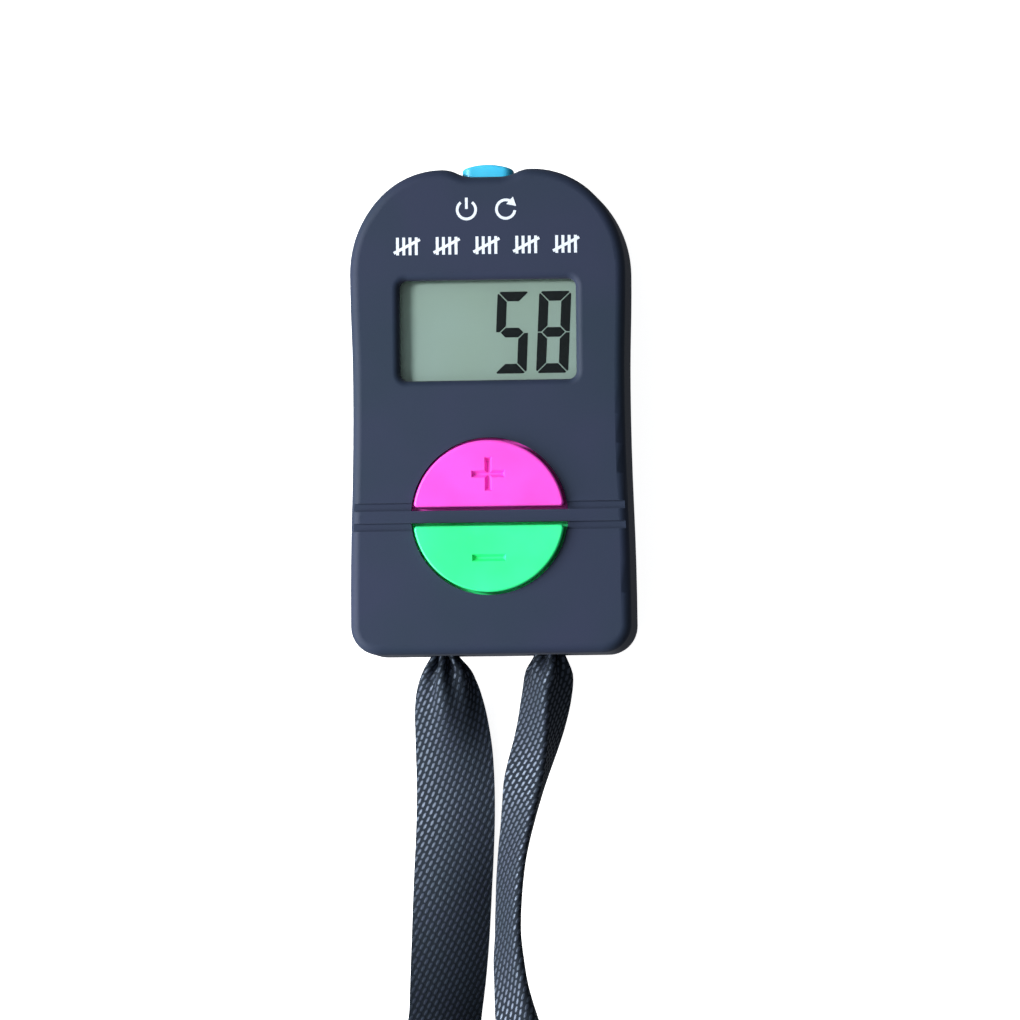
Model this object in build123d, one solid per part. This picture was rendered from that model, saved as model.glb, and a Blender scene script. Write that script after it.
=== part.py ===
from build123d import *
import os
from math import cos, radians, sin, tan

# A pocket tally counter: a two-piece case with an LCD window, two half-round counting buttons, a
# reset button in the top edge and a ribbon lanyard, with everything it holds inside.
# Millimetres. X runs right across the face, Y up the face towards the reset button, and Z out of
# the face. The back lies on z = 0. The origin is the middle of the back, where length is measured
# over the case and the reset button together.

# ---- Case ----
OVERALL_LENGTH = 61.0       # bottom edge to the reset button's tip
CASE_WIDTH = 35.0           # at the bottom
CASE_DEPTH = 12.6
REAR_DEPTH = 5.0            # the part of the depth that the rear case makes
WAIST_INSET = 0.55          # how far each side draws in at the waist
WAIST_FROM_TOP = 27.0
SHOULDER_INSET = 0.3        # how far each side stays in at the shoulders
SHOULDER_RISE = 12.85       # height of the round shoulders
HUMP_SPACING = 11.2         # between the two high points of the top edge
NOTCH_DEPTH = 0.95          # the dip between them, for the reset button
NOTCH_FLAT = 3.4
RESET_PROUD = 0.65          # reset button's tip above the high points
BOTTOM_CORNER = 3.6
FRONT_FILLET = 1.2
REAR_FILLET = 1.0
SIDE_WALL = 1.6
FRONT_WALL = 1.5
BACK_WALL = 1.5
LIP_THICKNESS = 0.7         # locating lip of the rear case, inside the front case
LIP_HEIGHT = 0.9
LIP_GAP = 0.1

# ---- Grooves beside the band that divides the buttons ----
BAND_WIDTH = 1.5
GROOVE_WIDTH = 1.0
GROOVE_DEPTH = 0.35

# ---- Window and display ----
WINDOW_WIDTH = 22.0
WINDOW_HEIGHT = 12.5
WINDOW_FROM_TOP = 20.05     # its centre, below the high points
WINDOW_CORNER = 1.0
WINDOW_FILLET = 0.9
WINDOW_OVERLAP = 1.4        # how far the clear pane reaches behind the wall
PANE_THICKNESS = 0.8
TAPE_THICKNESS = 0.1
TAPE_BACK = 0.3             # how far the tape stays behind the opening's edge
PANE_TO_LCD = 0.1
POLARISER_THICKNESS = 0.17
GLASS_THICKNESS = 0.55
REFLECTOR_THICKNESS = 0.2
LCD_SIDE_MARGIN = 1.5       # glass beyond the window's sides
LCD_TOP_MARGIN = 1.55
CONTACT_LEDGE = 2.2         # front glass beyond the rear glass, where the zebra strip presses
FILM_INSET = 0.3            # films inside the edge of the glass
LCD_TO_BOARD = 1.43
ZEBRA_WIDTH = 1.8
ZEBRA_SIDE_INSET = 1.5
HOLDER_WALL = 0.9
HOLDER_GAP = 0.1
HOLDER_LEDGE = 1.1

# ---- Circuit board ----
BOARD_THICKNESS = 1.0
BOARD_SIDE_GAP = 1.3
BOARD_BOTTOM_GAP = 6.1
BOARD_TOP_GAP = 1.7
BOARD_TONGUE_WIDTH = 18.6   # the narrow top end, between the two upper case screws
BOARD_TONGUE_LENGTH = 6.7
BOARD_CORNER = 1.0
CHIP_RADIUS = 4.5
CHIP_HEIGHT = 1.0
CAPACITOR = (1.6, 0.8, 0.6)
CAPACITOR_COUNT = 5
CAPACITOR_PITCH = 3.2
CAPACITOR_GAP = 1.6         # below the display's holder

# ---- Counting buttons ----
BUTTONS_FROM_BOTTOM = 17.1  # centre of the round pair, above the bottom edge
BUTTON_RADIUS = 9.45
BUTTON_FLAT = 1.2           # flat side, from the pair's centre line
BUTTON_GAP = 0.35
BUTTON_PROUD = 0.9
BUTTON_FILLET = 0.3
BUTTON_CORNER = 0.4
FLANGE_THICKNESS = 0.6
FLANGE_REACH = 0.8          # beyond the round side
FLANGE_FLAT_REACH = 0.5     # beyond the flat side
FLANGE_GAP = 0.1            # below the wall
BUTTON_TRAVEL = 0.5
SWITCH_OFFSET = 5.0         # from the pair's centre line
SYMBOL_LENGTH = 4.2
SYMBOL_WIDTH = 0.9
SYMBOL_DEPTH = 0.5
SYMBOL_TAPER = 33           # degrees, of the sign's sloping walls
SYMBOL_OFFSET = 5.2         # from the pair's centre line

# ---- Tact switches: square base, metal cover, snap dome, plunger ----
SWITCH_SIZE = 6.0
SWITCH_BASE_HEIGHT = 2.2
SWITCH_FLOOR = 0.55
SWITCH_COVER = 0.3
SWITCH_HEIGHT = 3.2         # to the plunger's tip
STEM_RADIUS = 1.75
STEM_COLLAR = 0.35
STEM_COLLAR_HEIGHT = 0.5
STEM_FOOT = 1.6             # underside of the plunger's collar, above the board
STEM_GAP = 0.1
DOME_HEIGHT = 0.4           # low enough to leave room for the pressed plunger
DOME_THICKNESS = 0.1
SIDE_SWITCH_HEIGHT = 3.0    # the reset switch lies on its side
SIDE_STEM_RADIUS = 0.9

# ---- Reset button ----
RESET_WIDTH = 6.3
RESET_DEPTH = 4.0
RESET_CORNER = 1.2
RESET_DOME = 0.6            # how far its top curves up over its width
RESET_FILLET = 0.35
RESET_HOLE_GAP = 0.2
RESET_FLANGE = 0.8          # thickness along the travel
RESET_FLANGE_REACH = 0.6    # to each side
RESET_FLANGE_RISE = 0.2     # above and below the cap
RESET_TRAVEL = 0.6

# ---- Screws ----
CASE_SCREW_RADIUS = 0.85
CASE_SCREW_LENGTH = 6.0
CASE_HEAD_RADIUS = 1.6
CASE_HEAD_HEIGHT = 1.1
CASE_SEAT = 2.5             # height of the seat above the back
CASE_SCREW_CLEARANCE = 0.1
CASE_HEAD_CLEARANCE = 0.2
POST_RADIUS = 2.7
BOSS_RADIUS = 2.1
BOSS_HOLE_EXTRA = 1.1       # hole beyond the screw's tip
TOP_SCREW_INSET = 5.2       # from the shoulder's side
TOP_SCREW_FROM_TOP = 8.55
BOTTOM_SCREW_INSET = 4.1    # from the side and the bottom edge
BOARD_SCREW_RADIUS = 0.7
BOARD_SCREW_LENGTH = 4.0
BOARD_HEAD_RADIUS = 1.3
BOARD_HEAD_HEIGHT = 1.0
BOARD_BOSS_RADIUS = 1.8
BOARD_SCREW_INSET = 4.9     # from the waist's side
BOARD_SCREW_ABOVE = 10.4    # above the buttons' centre line
DRIVER_SLOT = 0.35
DRIVER_SLOT_DEPTH = 0.45

# ---- Battery, its well and its cover ----
CELL_RADIUS = 5.8
CELL_HEIGHT = 3.05
CELL_CAP_RADIUS = 4.6
CELL_CAP_HEIGHT = 0.3
CELL_FILLET = 0.25
CELL_ABOVE_COVER = 0.25
CELL_ABOVE_BUTTONS = 4.9    # cell's centre, above the buttons' centre line
WELL_GAP = 1.5              # around the cell
WELL_WALL = 1.2
WELL_CEILING = 0.8
WELL_HEADROOM = 0.5         # above the cell, for the negative contact
COVER_THICKNESS = 1.2
COVER_GAP = 0.15
COVER_TAB = 7.5             # beyond the well, for the cover's screw
COVER_CORNER = 1.0
COVER_LIFT = 8.0
COVER_GRIPS = 4
GRIP_PITCH = 1.4
GRIP_WIDTH = 0.6
GRIP_DEPTH = 0.3
GRIP_LENGTH = 8.0
PAD_MARGIN = 1.2            # thick back wall around the cover's recess
PAD_THICKNESS = 1.2
COVER_SCREW_RADIUS = 0.8
COVER_SCREW_LENGTH = 3.3
COVER_HEAD_RADIUS = 1.4
COVER_HEAD_HEIGHT = 0.6
COVER_HEAD_RECESS = 0.25
COVER_BOSS_RADIUS = 2.3
COVER_SCREW_FROM_END = 3.0
CONTACT_THICKNESS = 0.2
CONTACT_WIDTH = 4.0
CONTACT_FOOT = 2.0
CONTACT_GAP = 0.15

# ---- Lanyard ----
EXIT_SPACING = 12.9         # between the two slots in the bottom edge
SLOT_WIDTH = 5.2
SLOT_HEIGHT = 2.5
RIBBON_BUNCH = 4.2          # the ribbon gathered in its slot
RIBBON_THICKNESS = 0.6
KNOT = (6.0, 3.4, 4.2)
KNOT_FILLET = 1.5
KNOT_GAP = 0.2
# Each strand's route, from its exit: across, along Y, and height above the floor.
LEFT_ROUTE = [
    (0.0, 1.6, 5.0), (0.0, -4.4, 4.8), (0.3, -10.4, 2.2), (0.5, -17.5, 0.9),
    (0.1, -27.0, 0.6), (-0.7, -38.5, 0.7), (-1.5, -51.5, 1.6),
]
RIGHT_ROUTE = [
    (0.0, 1.6, 5.0), (-0.4, -4.4, 4.8), (-1.9, -10.6, 3.9), (-4.3, -18.0, 3.9),
    (-6.1, -27.0, 4.4), (-6.2, -38.5, 4.6), (-3.9, -51.5, 4.8),
]
HANK_HALF = [               # half outline, from its middle line and its near end
    (9.0, 0.0), (21.0, 17.0), (21.0, 31.0), (7.5, 76.0),
    (7.5, 90.0), (23.0, 148.0), (23.0, 160.0), (15.0, 170.0),
]
HANK_FILLET = 5.0
HANK_HEIGHT = 10.0
HANK_WAIST_FROM_END = 83.0
TIE_WIDTH = 6.0
TIE_THICKNESS = 0.8
TIE_OPENING = (15.0, 7.6)
TIE_CORNER = 1.6

NEAR = 0.001                # places closer than this are the same place

# ---- Places that follow from the sizes above ----
BOTTOM_Y = -OVERALL_LENGTH / 2
TIP_Y = OVERALL_LENGTH / 2
HUMP_Y = TIP_Y - RESET_PROUD
NOTCH_Y = HUMP_Y - NOTCH_DEPTH
SHOULDER_Y = HUMP_Y - SHOULDER_RISE
WAIST_Y = HUMP_Y - WAIST_FROM_TOP
HALF_WIDTH = CASE_WIDTH / 2
HALF_SHOULDER = HALF_WIDTH - SHOULDER_INSET
HALF_WAIST = HALF_WIDTH - WAIST_INSET
INNER_Z = CASE_DEPTH - FRONT_WALL
WINDOW_Y = HUMP_Y - WINDOW_FROM_TOP
BUTTONS_Y = BOTTOM_Y + BUTTONS_FROM_BOTTOM

PANE_TOP = INNER_Z - TAPE_THICKNESS
PANE_BOTTOM = PANE_TOP - PANE_THICKNESS
POLARISER_TOP = PANE_BOTTOM - PANE_TO_LCD
FRONT_GLASS_TOP = POLARISER_TOP - POLARISER_THICKNESS
REAR_GLASS_TOP = FRONT_GLASS_TOP - GLASS_THICKNESS
REFLECTOR_TOP = REAR_GLASS_TOP - GLASS_THICKNESS
REFLECTOR_BOTTOM = REFLECTOR_TOP - REFLECTOR_THICKNESS
BOARD_TOP = REFLECTOR_BOTTOM - LCD_TO_BOARD
BOARD_BOTTOM = BOARD_TOP - BOARD_THICKNESS

GLASS_HALF = WINDOW_WIDTH / 2 + LCD_SIDE_MARGIN
GLASS_TOP_Y = WINDOW_Y + WINDOW_HEIGHT / 2 + LCD_TOP_MARGIN
REAR_GLASS_Y = WINDOW_Y - WINDOW_HEIGHT / 2 - LCD_TOP_MARGIN + FILM_INSET * 2
LEDGE_Y = REAR_GLASS_Y - CONTACT_LEDGE

FLANGE_TOP = INNER_Z - FLANGE_GAP
FLANGE_BOTTOM = FLANGE_TOP - FLANGE_THICKNESS
BUTTON_TOP = CASE_DEPTH + BUTTON_PROUD

RESET_Z = BOARD_TOP + SIDE_SWITCH_HEIGHT / 2
RESET_FLANGE_Y = NOTCH_Y - SIDE_WALL - FLANGE_GAP
RESET_FOOT_Y = RESET_FLANGE_Y - RESET_FLANGE

TOP_SCREW = (HALF_SHOULDER - TOP_SCREW_INSET, HUMP_Y - TOP_SCREW_FROM_TOP)
BOTTOM_SCREW = (HALF_WIDTH - BOTTOM_SCREW_INSET, BOTTOM_Y + BOTTOM_SCREW_INSET)
BOARD_SCREW = (HALF_WAIST - BOARD_SCREW_INSET, BUTTONS_Y + BOARD_SCREW_ABOVE)

CELL_Y = BUTTONS_Y + CELL_ABOVE_BUTTONS
CELL_BOTTOM = COVER_THICKNESS + CELL_ABOVE_COVER
CELL_TOP = CELL_BOTTOM + CELL_HEIGHT
WELL_HALF = CELL_RADIUS + WELL_GAP
WELL_OUTER = WELL_HALF + WELL_WALL
CEILING_BOTTOM = CELL_TOP + WELL_HEADROOM
RECESS_LOW_Y = CELL_Y - WELL_OUTER
RECESS_HIGH_Y = CELL_Y + WELL_HALF + COVER_TAB
COVER_SCREW_Y = RECESS_HIGH_Y - COVER_SCREW_FROM_END
POSITIVE_LEG_Y = CELL_Y - CELL_RADIUS - CONTACT_THICKNESS
NEGATIVE_LEG_Y = CELL_Y + CELL_RADIUS + CONTACT_GAP
EXIT_X = EXIT_SPACING / 2
KNOT_Y = BOTTOM_Y + SIDE_WALL + KNOT_GAP


# ---- Helpers ----
def block(x_span, y_span, z_span):
    """A box between two values on each axis."""
    size = [high - low for low, high in (x_span, y_span, z_span)]
    middle = [(high + low) / 2 for low, high in (x_span, y_span, z_span)]
    return Pos(*middle) * Box(*size)


def even(half):
    return (-half, half)


def slab(sketch, low, high):
    """A flat shape raised between two heights."""
    return extrude(Pos(0, 0, low) * sketch, amount=high - low)


def disc(radius, x, y, low, high):
    return slab(Pos(x, y) * Circle(radius), low, high)


def both_sides(place):
    x, y = place
    return [(x, y), (-x, y)]


def s_curve(start, end, heading):
    """Two equal tangent arcs that leave and arrive along the same heading."""
    middle = ((start[0] + end[0]) / 2, (start[1] + end[1]) / 2)
    first = TangentArc(start, middle, tangent=heading)
    second = TangentArc(middle, end, tangent=first % 1)
    return [first, second]


def shoulder_curve(start, end):
    """Two tangent arcs of an eighth turn each, from upright at the side to level at the top."""
    across, up = start[0] - end[0], end[1] - start[1]
    side_radius = (across + up + (up - across) / tan(radians(22.5))) / 2
    joint = (start[0] - side_radius * (1 - cos(radians(45))), start[1] + side_radius * sin(radians(45)))
    first = TangentArc(start, joint, tangent=(0, 1))
    return [first, TangentArc(joint, end, tangent=first % 1)]


def case_outline():
    """The case seen from the front: waisted sides, round shoulders and a notched top."""
    corner = (HALF_WIDTH, BOTTOM_Y + BOTTOM_CORNER)
    waist = (HALF_WAIST, WAIST_Y)
    shoulder = (HALF_SHOULDER, SHOULDER_Y)
    hump_x = HUMP_SPACING / 2
    edges = [
        Line((0, BOTTOM_Y), (HALF_WIDTH - BOTTOM_CORNER, BOTTOM_Y)),
        CenterArc((HALF_WIDTH - BOTTOM_CORNER, BOTTOM_Y + BOTTOM_CORNER), BOTTOM_CORNER, -90, 90),
        *s_curve(corner, waist, (0, 1)),
        *s_curve(waist, shoulder, (0, 1)),
        *shoulder_curve(shoulder, (hump_x, HUMP_Y)),
        *s_curve((hump_x, HUMP_Y), (NOTCH_FLAT / 2, NOTCH_Y), (-1, 0)),
        Line((NOTCH_FLAT / 2, NOTCH_Y), (0, NOTCH_Y)),
    ]
    half = Curve() + edges
    return make_face(half + mirror(half, about=Plane.YZ))


OUTLINE = case_outline()
CAVITY = offset(OUTLINE, -SIDE_WALL)


def half_round(radius, flat, side):
    """A round shape cut off at a flat. Side is 1 for the upper half and -1 for the lower one."""
    keep = Pos(0, side * (flat + radius)) * Rectangle(4 * radius, 2 * radius)
    return Pos(0, BUTTONS_Y) * (Circle(radius) & keep)


def pan_screw(radius, length, head_radius, head_height):
    """A screw with its head's seat at z = 0, its shank upwards and a cross slot underneath."""
    screw = disc(radius, 0, 0, 0, length) + disc(head_radius, 0, 0, -head_height, 0)
    for turn in (0, 90):
        slot = Box(head_radius * 1.3, DRIVER_SLOT, 2 * DRIVER_SLOT_DEPTH)
        screw -= Pos(0, 0, -head_height) * Rot(0, 0, turn) * slot
    return screw


# ---- Case ----
def groove_tool():
    """Two shallow grooves across the face, open where they run out through its round edges."""
    low, high = BAND_WIDTH / 2, BAND_WIDTH / 2 + GROOVE_WIDTH
    tool = Part()
    for near, far in ((low, high), (-high, -low)):
        tool += block(even(CASE_WIDTH), (BUTTONS_Y + near, BUTTONS_Y + far),
                      (CASE_DEPTH - GROOVE_DEPTH, CASE_DEPTH + 1))
    return tool


def slot_tool():
    tool = Part()
    for x in (-EXIT_X, EXIT_X):
        tool += block((x - SLOT_WIDTH / 2, x + SLOT_WIDTH / 2), (BOTTOM_Y - 1, KNOT_Y + KNOT[1]),
                      (REAR_DEPTH - SLOT_HEIGHT / 2, REAR_DEPTH + SLOT_HEIGHT / 2))
    return tool


def front_case():
    shell = slab(OUTLINE, REAR_DEPTH, CASE_DEPTH)
    shell = fillet(shell.edges().group_by(Axis.Z)[-1], FRONT_FILLET)
    shell -= slab(CAVITY, REAR_DEPTH, INNER_Z)
    shell -= groove_tool()

    window = Pos(0, WINDOW_Y) * RectangleRounded(WINDOW_WIDTH, WINDOW_HEIGHT, WINDOW_CORNER)
    shell -= slab(window, INNER_Z, CASE_DEPTH)
    rim = [e for e in shell.edges().group_by(Axis.Z)[-1]
           if abs(e.center().X) <= WINDOW_WIDTH / 2 + NEAR
           and abs(e.center().Y - WINDOW_Y) <= WINDOW_HEIGHT / 2 + NEAR]
    shell = fillet(rim, WINDOW_FILLET)

    for side in (1, -1):
        hole = half_round(BUTTON_RADIUS + BUTTON_GAP, BAND_WIDTH / 2, side)
        shell -= slab(hole, INNER_Z, CASE_DEPTH + 1)

    for x, y in both_sides(TOP_SCREW) + both_sides(BOTTOM_SCREW):
        tip = CASE_SEAT + CASE_SCREW_LENGTH
        shell += disc(BOSS_RADIUS, x, y, REAR_DEPTH, INNER_Z)
        shell -= disc(CASE_SCREW_RADIUS, x, y, REAR_DEPTH, tip + BOSS_HOLE_EXTRA)
    for x, y in both_sides(BOARD_SCREW):
        tip = BOARD_BOTTOM + BOARD_SCREW_LENGTH
        shell += disc(BOARD_BOSS_RADIUS, x, y, BOARD_TOP, INNER_Z)
        shell -= disc(BOARD_SCREW_RADIUS, x, y, BOARD_TOP, tip + BOSS_HOLE_EXTRA / 2)

    hole_half = RESET_WIDTH / 2 + RESET_HOLE_GAP
    hole_rise = RESET_DEPTH / 2 + RESET_HOLE_GAP
    hole = RectangleRounded(2 * hole_half, 2 * hole_rise, RESET_CORNER)
    hole = Plane.XZ.offset(-RESET_FLANGE_Y) * Pos(0, RESET_Z) * hole
    shell -= extrude(hole, amount=-(TIP_Y - RESET_FLANGE_Y))
    return shell - slot_tool()


def rear_case():
    shell = slab(OUTLINE, 0, REAR_DEPTH)
    shell = fillet(shell.edges().group_by(Axis.Z)[0], REAR_FILLET)
    shell -= slab(CAVITY, BACK_WALL, REAR_DEPTH)

    lip = slab(offset(OUTLINE, -SIDE_WALL + LIP_GAP), REAR_DEPTH - LIP_HEIGHT, REAR_DEPTH)
    lip += slab(offset(OUTLINE, -SIDE_WALL - LIP_GAP), REAR_DEPTH - LIP_HEIGHT, REAR_DEPTH + LIP_HEIGHT)
    lip -= slab(offset(OUTLINE, -SIDE_WALL - LIP_GAP - LIP_THICKNESS), 0, CASE_DEPTH)
    for x, y in both_sides(TOP_SCREW):
        lip -= disc(BOSS_RADIUS + LIP_GAP, x, y, 0, CASE_DEPTH)
    lip -= block(even(HALF_WIDTH), (BOTTOM_Y, BOTTOM_SCREW[1] + 2 * POST_RADIUS), (0, CASE_DEPTH))
    shell += lip

    recess_half = WELL_OUTER + COVER_GAP
    recess_low, recess_high = RECESS_LOW_Y - COVER_GAP, RECESS_HIGH_Y + COVER_GAP
    pad = block(even(recess_half + PAD_MARGIN), (recess_low - PAD_MARGIN, recess_high + PAD_MARGIN),
                (COVER_THICKNESS, COVER_THICKNESS + PAD_THICKNESS))
    well = block(even(WELL_OUTER), (CELL_Y - WELL_OUTER, CELL_Y + WELL_OUTER),
                 (COVER_THICKNESS, CEILING_BOTTOM + WELL_CEILING))
    boss = disc(COVER_BOSS_RADIUS, 0, COVER_SCREW_Y, COVER_THICKNESS, CEILING_BOTTOM)
    shell += pad + well + boss
    for x, y in both_sides(TOP_SCREW) + both_sides(BOTTOM_SCREW):
        shell += disc(POST_RADIUS, x, y, BACK_WALL, REAR_DEPTH)

    shell -= block(even(recess_half), (recess_low, recess_high), (-1, COVER_THICKNESS))
    shell -= block(even(WELL_HALF), (CELL_Y - WELL_HALF, CELL_Y + WELL_HALF), (0, CEILING_BOTTOM))
    shell -= disc(COVER_SCREW_RADIUS + CASE_SCREW_CLEARANCE, 0, COVER_SCREW_Y, 0,
                  COVER_THICKNESS + COVER_SCREW_LENGTH)
    for y in (POSITIVE_LEG_Y, NEGATIVE_LEG_Y):
        shell -= block(even(CONTACT_WIDTH / 2 + CONTACT_GAP),
                       (y - CONTACT_GAP, y + CONTACT_THICKNESS + CONTACT_GAP),
                       (CEILING_BOTTOM - 1, BOARD_BOTTOM))
    for x, y in both_sides(TOP_SCREW) + both_sides(BOTTOM_SCREW):
        shell -= disc(CASE_HEAD_RADIUS + CASE_HEAD_CLEARANCE, x, y, 0, CASE_SEAT)
        shell -= disc(CASE_SCREW_RADIUS + CASE_SCREW_CLEARANCE, x, y, 0, REAR_DEPTH)
    return shell - slot_tool()


def case_screws():
    screws = []
    for x, y in both_sides(TOP_SCREW) + both_sides(BOTTOM_SCREW):
        screw = pan_screw(CASE_SCREW_RADIUS, CASE_SCREW_LENGTH, CASE_HEAD_RADIUS, CASE_HEAD_HEIGHT)
        screws.append(Pos(x, y, CASE_SEAT) * screw)
    return Compound(screws)


# ---- Window and display ----
def display_window():
    width = WINDOW_WIDTH + 2 * WINDOW_OVERLAP
    height = WINDOW_HEIGHT + 2 * WINDOW_OVERLAP
    return slab(Pos(0, WINDOW_Y) * RectangleRounded(width, height, WINDOW_CORNER), PANE_BOTTOM, PANE_TOP)


def window_tape():
    width = WINDOW_WIDTH + 2 * WINDOW_OVERLAP
    height = WINDOW_HEIGHT + 2 * WINDOW_OVERLAP
    ring = RectangleRounded(width, height, WINDOW_CORNER)
    ring -= RectangleRounded(WINDOW_WIDTH + 2 * TAPE_BACK, WINDOW_HEIGHT + 2 * TAPE_BACK, WINDOW_CORNER)
    return slab(Pos(0, WINDOW_Y) * ring, PANE_TOP, INNER_Z)


def lcd_layers():
    film = even(GLASS_HALF - FILM_INSET)
    film_y = (REAR_GLASS_Y + FILM_INSET, GLASS_TOP_Y - FILM_INSET)
    return {
        "lcd_front_polariser": block(film, film_y, (FRONT_GLASS_TOP, POLARISER_TOP)),
        "lcd_front_glass": block(even(GLASS_HALF), (LEDGE_Y, GLASS_TOP_Y), (REAR_GLASS_TOP, FRONT_GLASS_TOP)),
        "lcd_rear_glass": block(even(GLASS_HALF), (REAR_GLASS_Y, GLASS_TOP_Y), (REFLECTOR_TOP, REAR_GLASS_TOP)),
        "lcd_reflector": block(film, film_y, (REFLECTOR_BOTTOM, REFLECTOR_TOP)),
    }


def zebra_spans():
    middle = (LEDGE_Y + REAR_GLASS_Y) / 2
    return even(GLASS_HALF - ZEBRA_SIDE_INSET), (middle - ZEBRA_WIDTH / 2, middle + ZEBRA_WIDTH / 2)


def zebra_strip():
    x_span, y_span = zebra_spans()
    return block(x_span, y_span, (BOARD_TOP, REAR_GLASS_TOP))


def lcd_holder():
    """A frame on the board: a ledge under the glass, and a wall around it."""
    outer = GLASS_HALF + HOLDER_GAP + HOLDER_WALL
    low = LEDGE_Y - HOLDER_GAP - HOLDER_WALL
    high = GLASS_TOP_Y + HOLDER_GAP + HOLDER_WALL
    frame = block(even(outer), (low, high), (BOARD_TOP, POLARISER_TOP))
    frame -= block(even(GLASS_HALF + HOLDER_GAP), (LEDGE_Y - HOLDER_GAP, GLASS_TOP_Y + HOLDER_GAP),
                   (REFLECTOR_BOTTOM, POLARISER_TOP))
    frame -= block(even(GLASS_HALF - HOLDER_LEDGE),
                   (REAR_GLASS_Y + HOLDER_LEDGE, GLASS_TOP_Y - HOLDER_LEDGE),
                   (BOARD_TOP, POLARISER_TOP))
    x_span, y_span = zebra_spans()
    frame -= block((x_span[0] - HOLDER_GAP, x_span[1] + HOLDER_GAP),
                   (y_span[0] - HOLDER_GAP / 2, y_span[1] + HOLDER_GAP / 2), (BOARD_TOP, POLARISER_TOP))
    return frame


# ---- Circuit board ----
def circuit_board():
    low = BOTTOM_Y + SIDE_WALL + BOARD_BOTTOM_GAP
    high = NOTCH_Y - SIDE_WALL - BOARD_TOP_GAP
    step = high - BOARD_TONGUE_LENGTH
    half = HALF_WIDTH - SIDE_WALL - BOARD_SIDE_GAP
    board = Pos(0, (low + step) / 2) * RectangleRounded(2 * half, step - low, BOARD_CORNER)
    tongue = Pos(0, (high + WINDOW_Y) / 2)
    board += tongue * RectangleRounded(BOARD_TONGUE_WIDTH, high - WINDOW_Y, BOARD_CORNER)
    for x, y in both_sides(BOARD_SCREW):
        board -= Pos(x, y) * Circle(BOARD_SCREW_RADIUS)
    return slab(board, BOARD_BOTTOM, BOARD_TOP)


def dome_radius(reach, height):
    return (reach ** 2 + height ** 2) / (2 * height)


def chip_blob():
    """The resin drop over the counting chip."""
    radius = dome_radius(CHIP_RADIUS, CHIP_HEIGHT)
    drop = Pos(0, WINDOW_Y, BOARD_TOP + CHIP_HEIGHT - radius) * Sphere(radius)
    span = WINDOW_Y - CHIP_RADIUS, WINDOW_Y + CHIP_RADIUS
    return drop & block(even(CHIP_RADIUS), span, (BOARD_TOP, BOARD_TOP + CHIP_HEIGHT))


def chip_capacitors():
    length, width, height = CAPACITOR
    y = LEDGE_Y - HOLDER_GAP - HOLDER_WALL - CAPACITOR_GAP
    first = -CAPACITOR_PITCH * (CAPACITOR_COUNT - 1) / 2
    row = []
    for index in range(CAPACITOR_COUNT):
        x = first + index * CAPACITOR_PITCH
        row.append(block((x - length / 2, x + length / 2), (y - width / 2, y + width / 2),
                         (BOARD_TOP, BOARD_TOP + height)))
    return Compound(row)


def board_screws():
    screws = []
    for x, y in both_sides(BOARD_SCREW):
        screw = pan_screw(BOARD_SCREW_RADIUS, BOARD_SCREW_LENGTH, BOARD_HEAD_RADIUS, BOARD_HEAD_HEIGHT)
        screws.append(Pos(x, y, BOARD_BOTTOM) * screw)
    return Compound(screws)


# ---- Switches ----
def tact_switch(name, width, depth, stem_radius, place):
    """A switch that is pushed along its own -Z, put where the place says."""
    collar = stem_radius + STEM_COLLAR
    hollow = collar + STEM_GAP
    base = block(even(width / 2), even(depth / 2), (0, SWITCH_BASE_HEIGHT))
    base -= disc(hollow, 0, 0, SWITCH_FLOOR, SWITCH_BASE_HEIGHT)
    cover_top = SWITCH_BASE_HEIGHT + SWITCH_COVER
    cover = block(even(width / 2), even(depth / 2), (SWITCH_BASE_HEIGHT, cover_top))
    cover -= disc(stem_radius + STEM_GAP, 0, 0, SWITCH_BASE_HEIGHT, cover_top)
    plunger = disc(stem_radius, 0, 0, STEM_FOOT, SWITCH_HEIGHT)
    plunger += disc(collar, 0, 0, STEM_FOOT, STEM_FOOT + STEM_COLLAR_HEIGHT)
    radius = dome_radius(collar, DOME_HEIGHT)
    middle = Pos(0, 0, SWITCH_FLOOR + DOME_HEIGHT - radius)
    dome = middle * Sphere(radius) - middle * Sphere(radius - DOME_THICKNESS)
    dome &= block(even(collar), even(collar), (SWITCH_FLOOR, STEM_FOOT))
    pieces = {"base": base, "cover": cover, "plunger": plunger, "dome": dome}
    return {f"{name}_switch_{piece}": place * shape for piece, shape in pieces.items()}


# ---- Buttons ----
def counting_button(side):
    """A half-round cap with a flange behind the wall and a sunken plus or minus sign."""
    outline = half_round(BUTTON_RADIUS, BUTTON_FLAT, side)
    outline = fillet(outline.vertices(), BUTTON_CORNER)
    cap = slab(outline, FLANGE_TOP, BUTTON_TOP)
    cap = fillet(cap.edges().group_by(Axis.Z)[-1], BUTTON_FILLET)
    flange = half_round(BUTTON_RADIUS + FLANGE_REACH, BUTTON_FLAT - FLANGE_FLAT_REACH, side)
    cap += slab(flange, FLANGE_BOTTOM, FLANGE_TOP)
    symbol = Rectangle(SYMBOL_LENGTH, SYMBOL_WIDTH)
    if side > 0:
        symbol += Rectangle(SYMBOL_WIDTH, SYMBOL_LENGTH)
    symbol = Pos(0, BUTTONS_Y + side * SYMBOL_OFFSET, BUTTON_TOP) * symbol
    return cap - extrude(symbol, amount=SYMBOL_DEPTH, dir=(0, 0, -1), taper=SYMBOL_TAPER)


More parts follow.
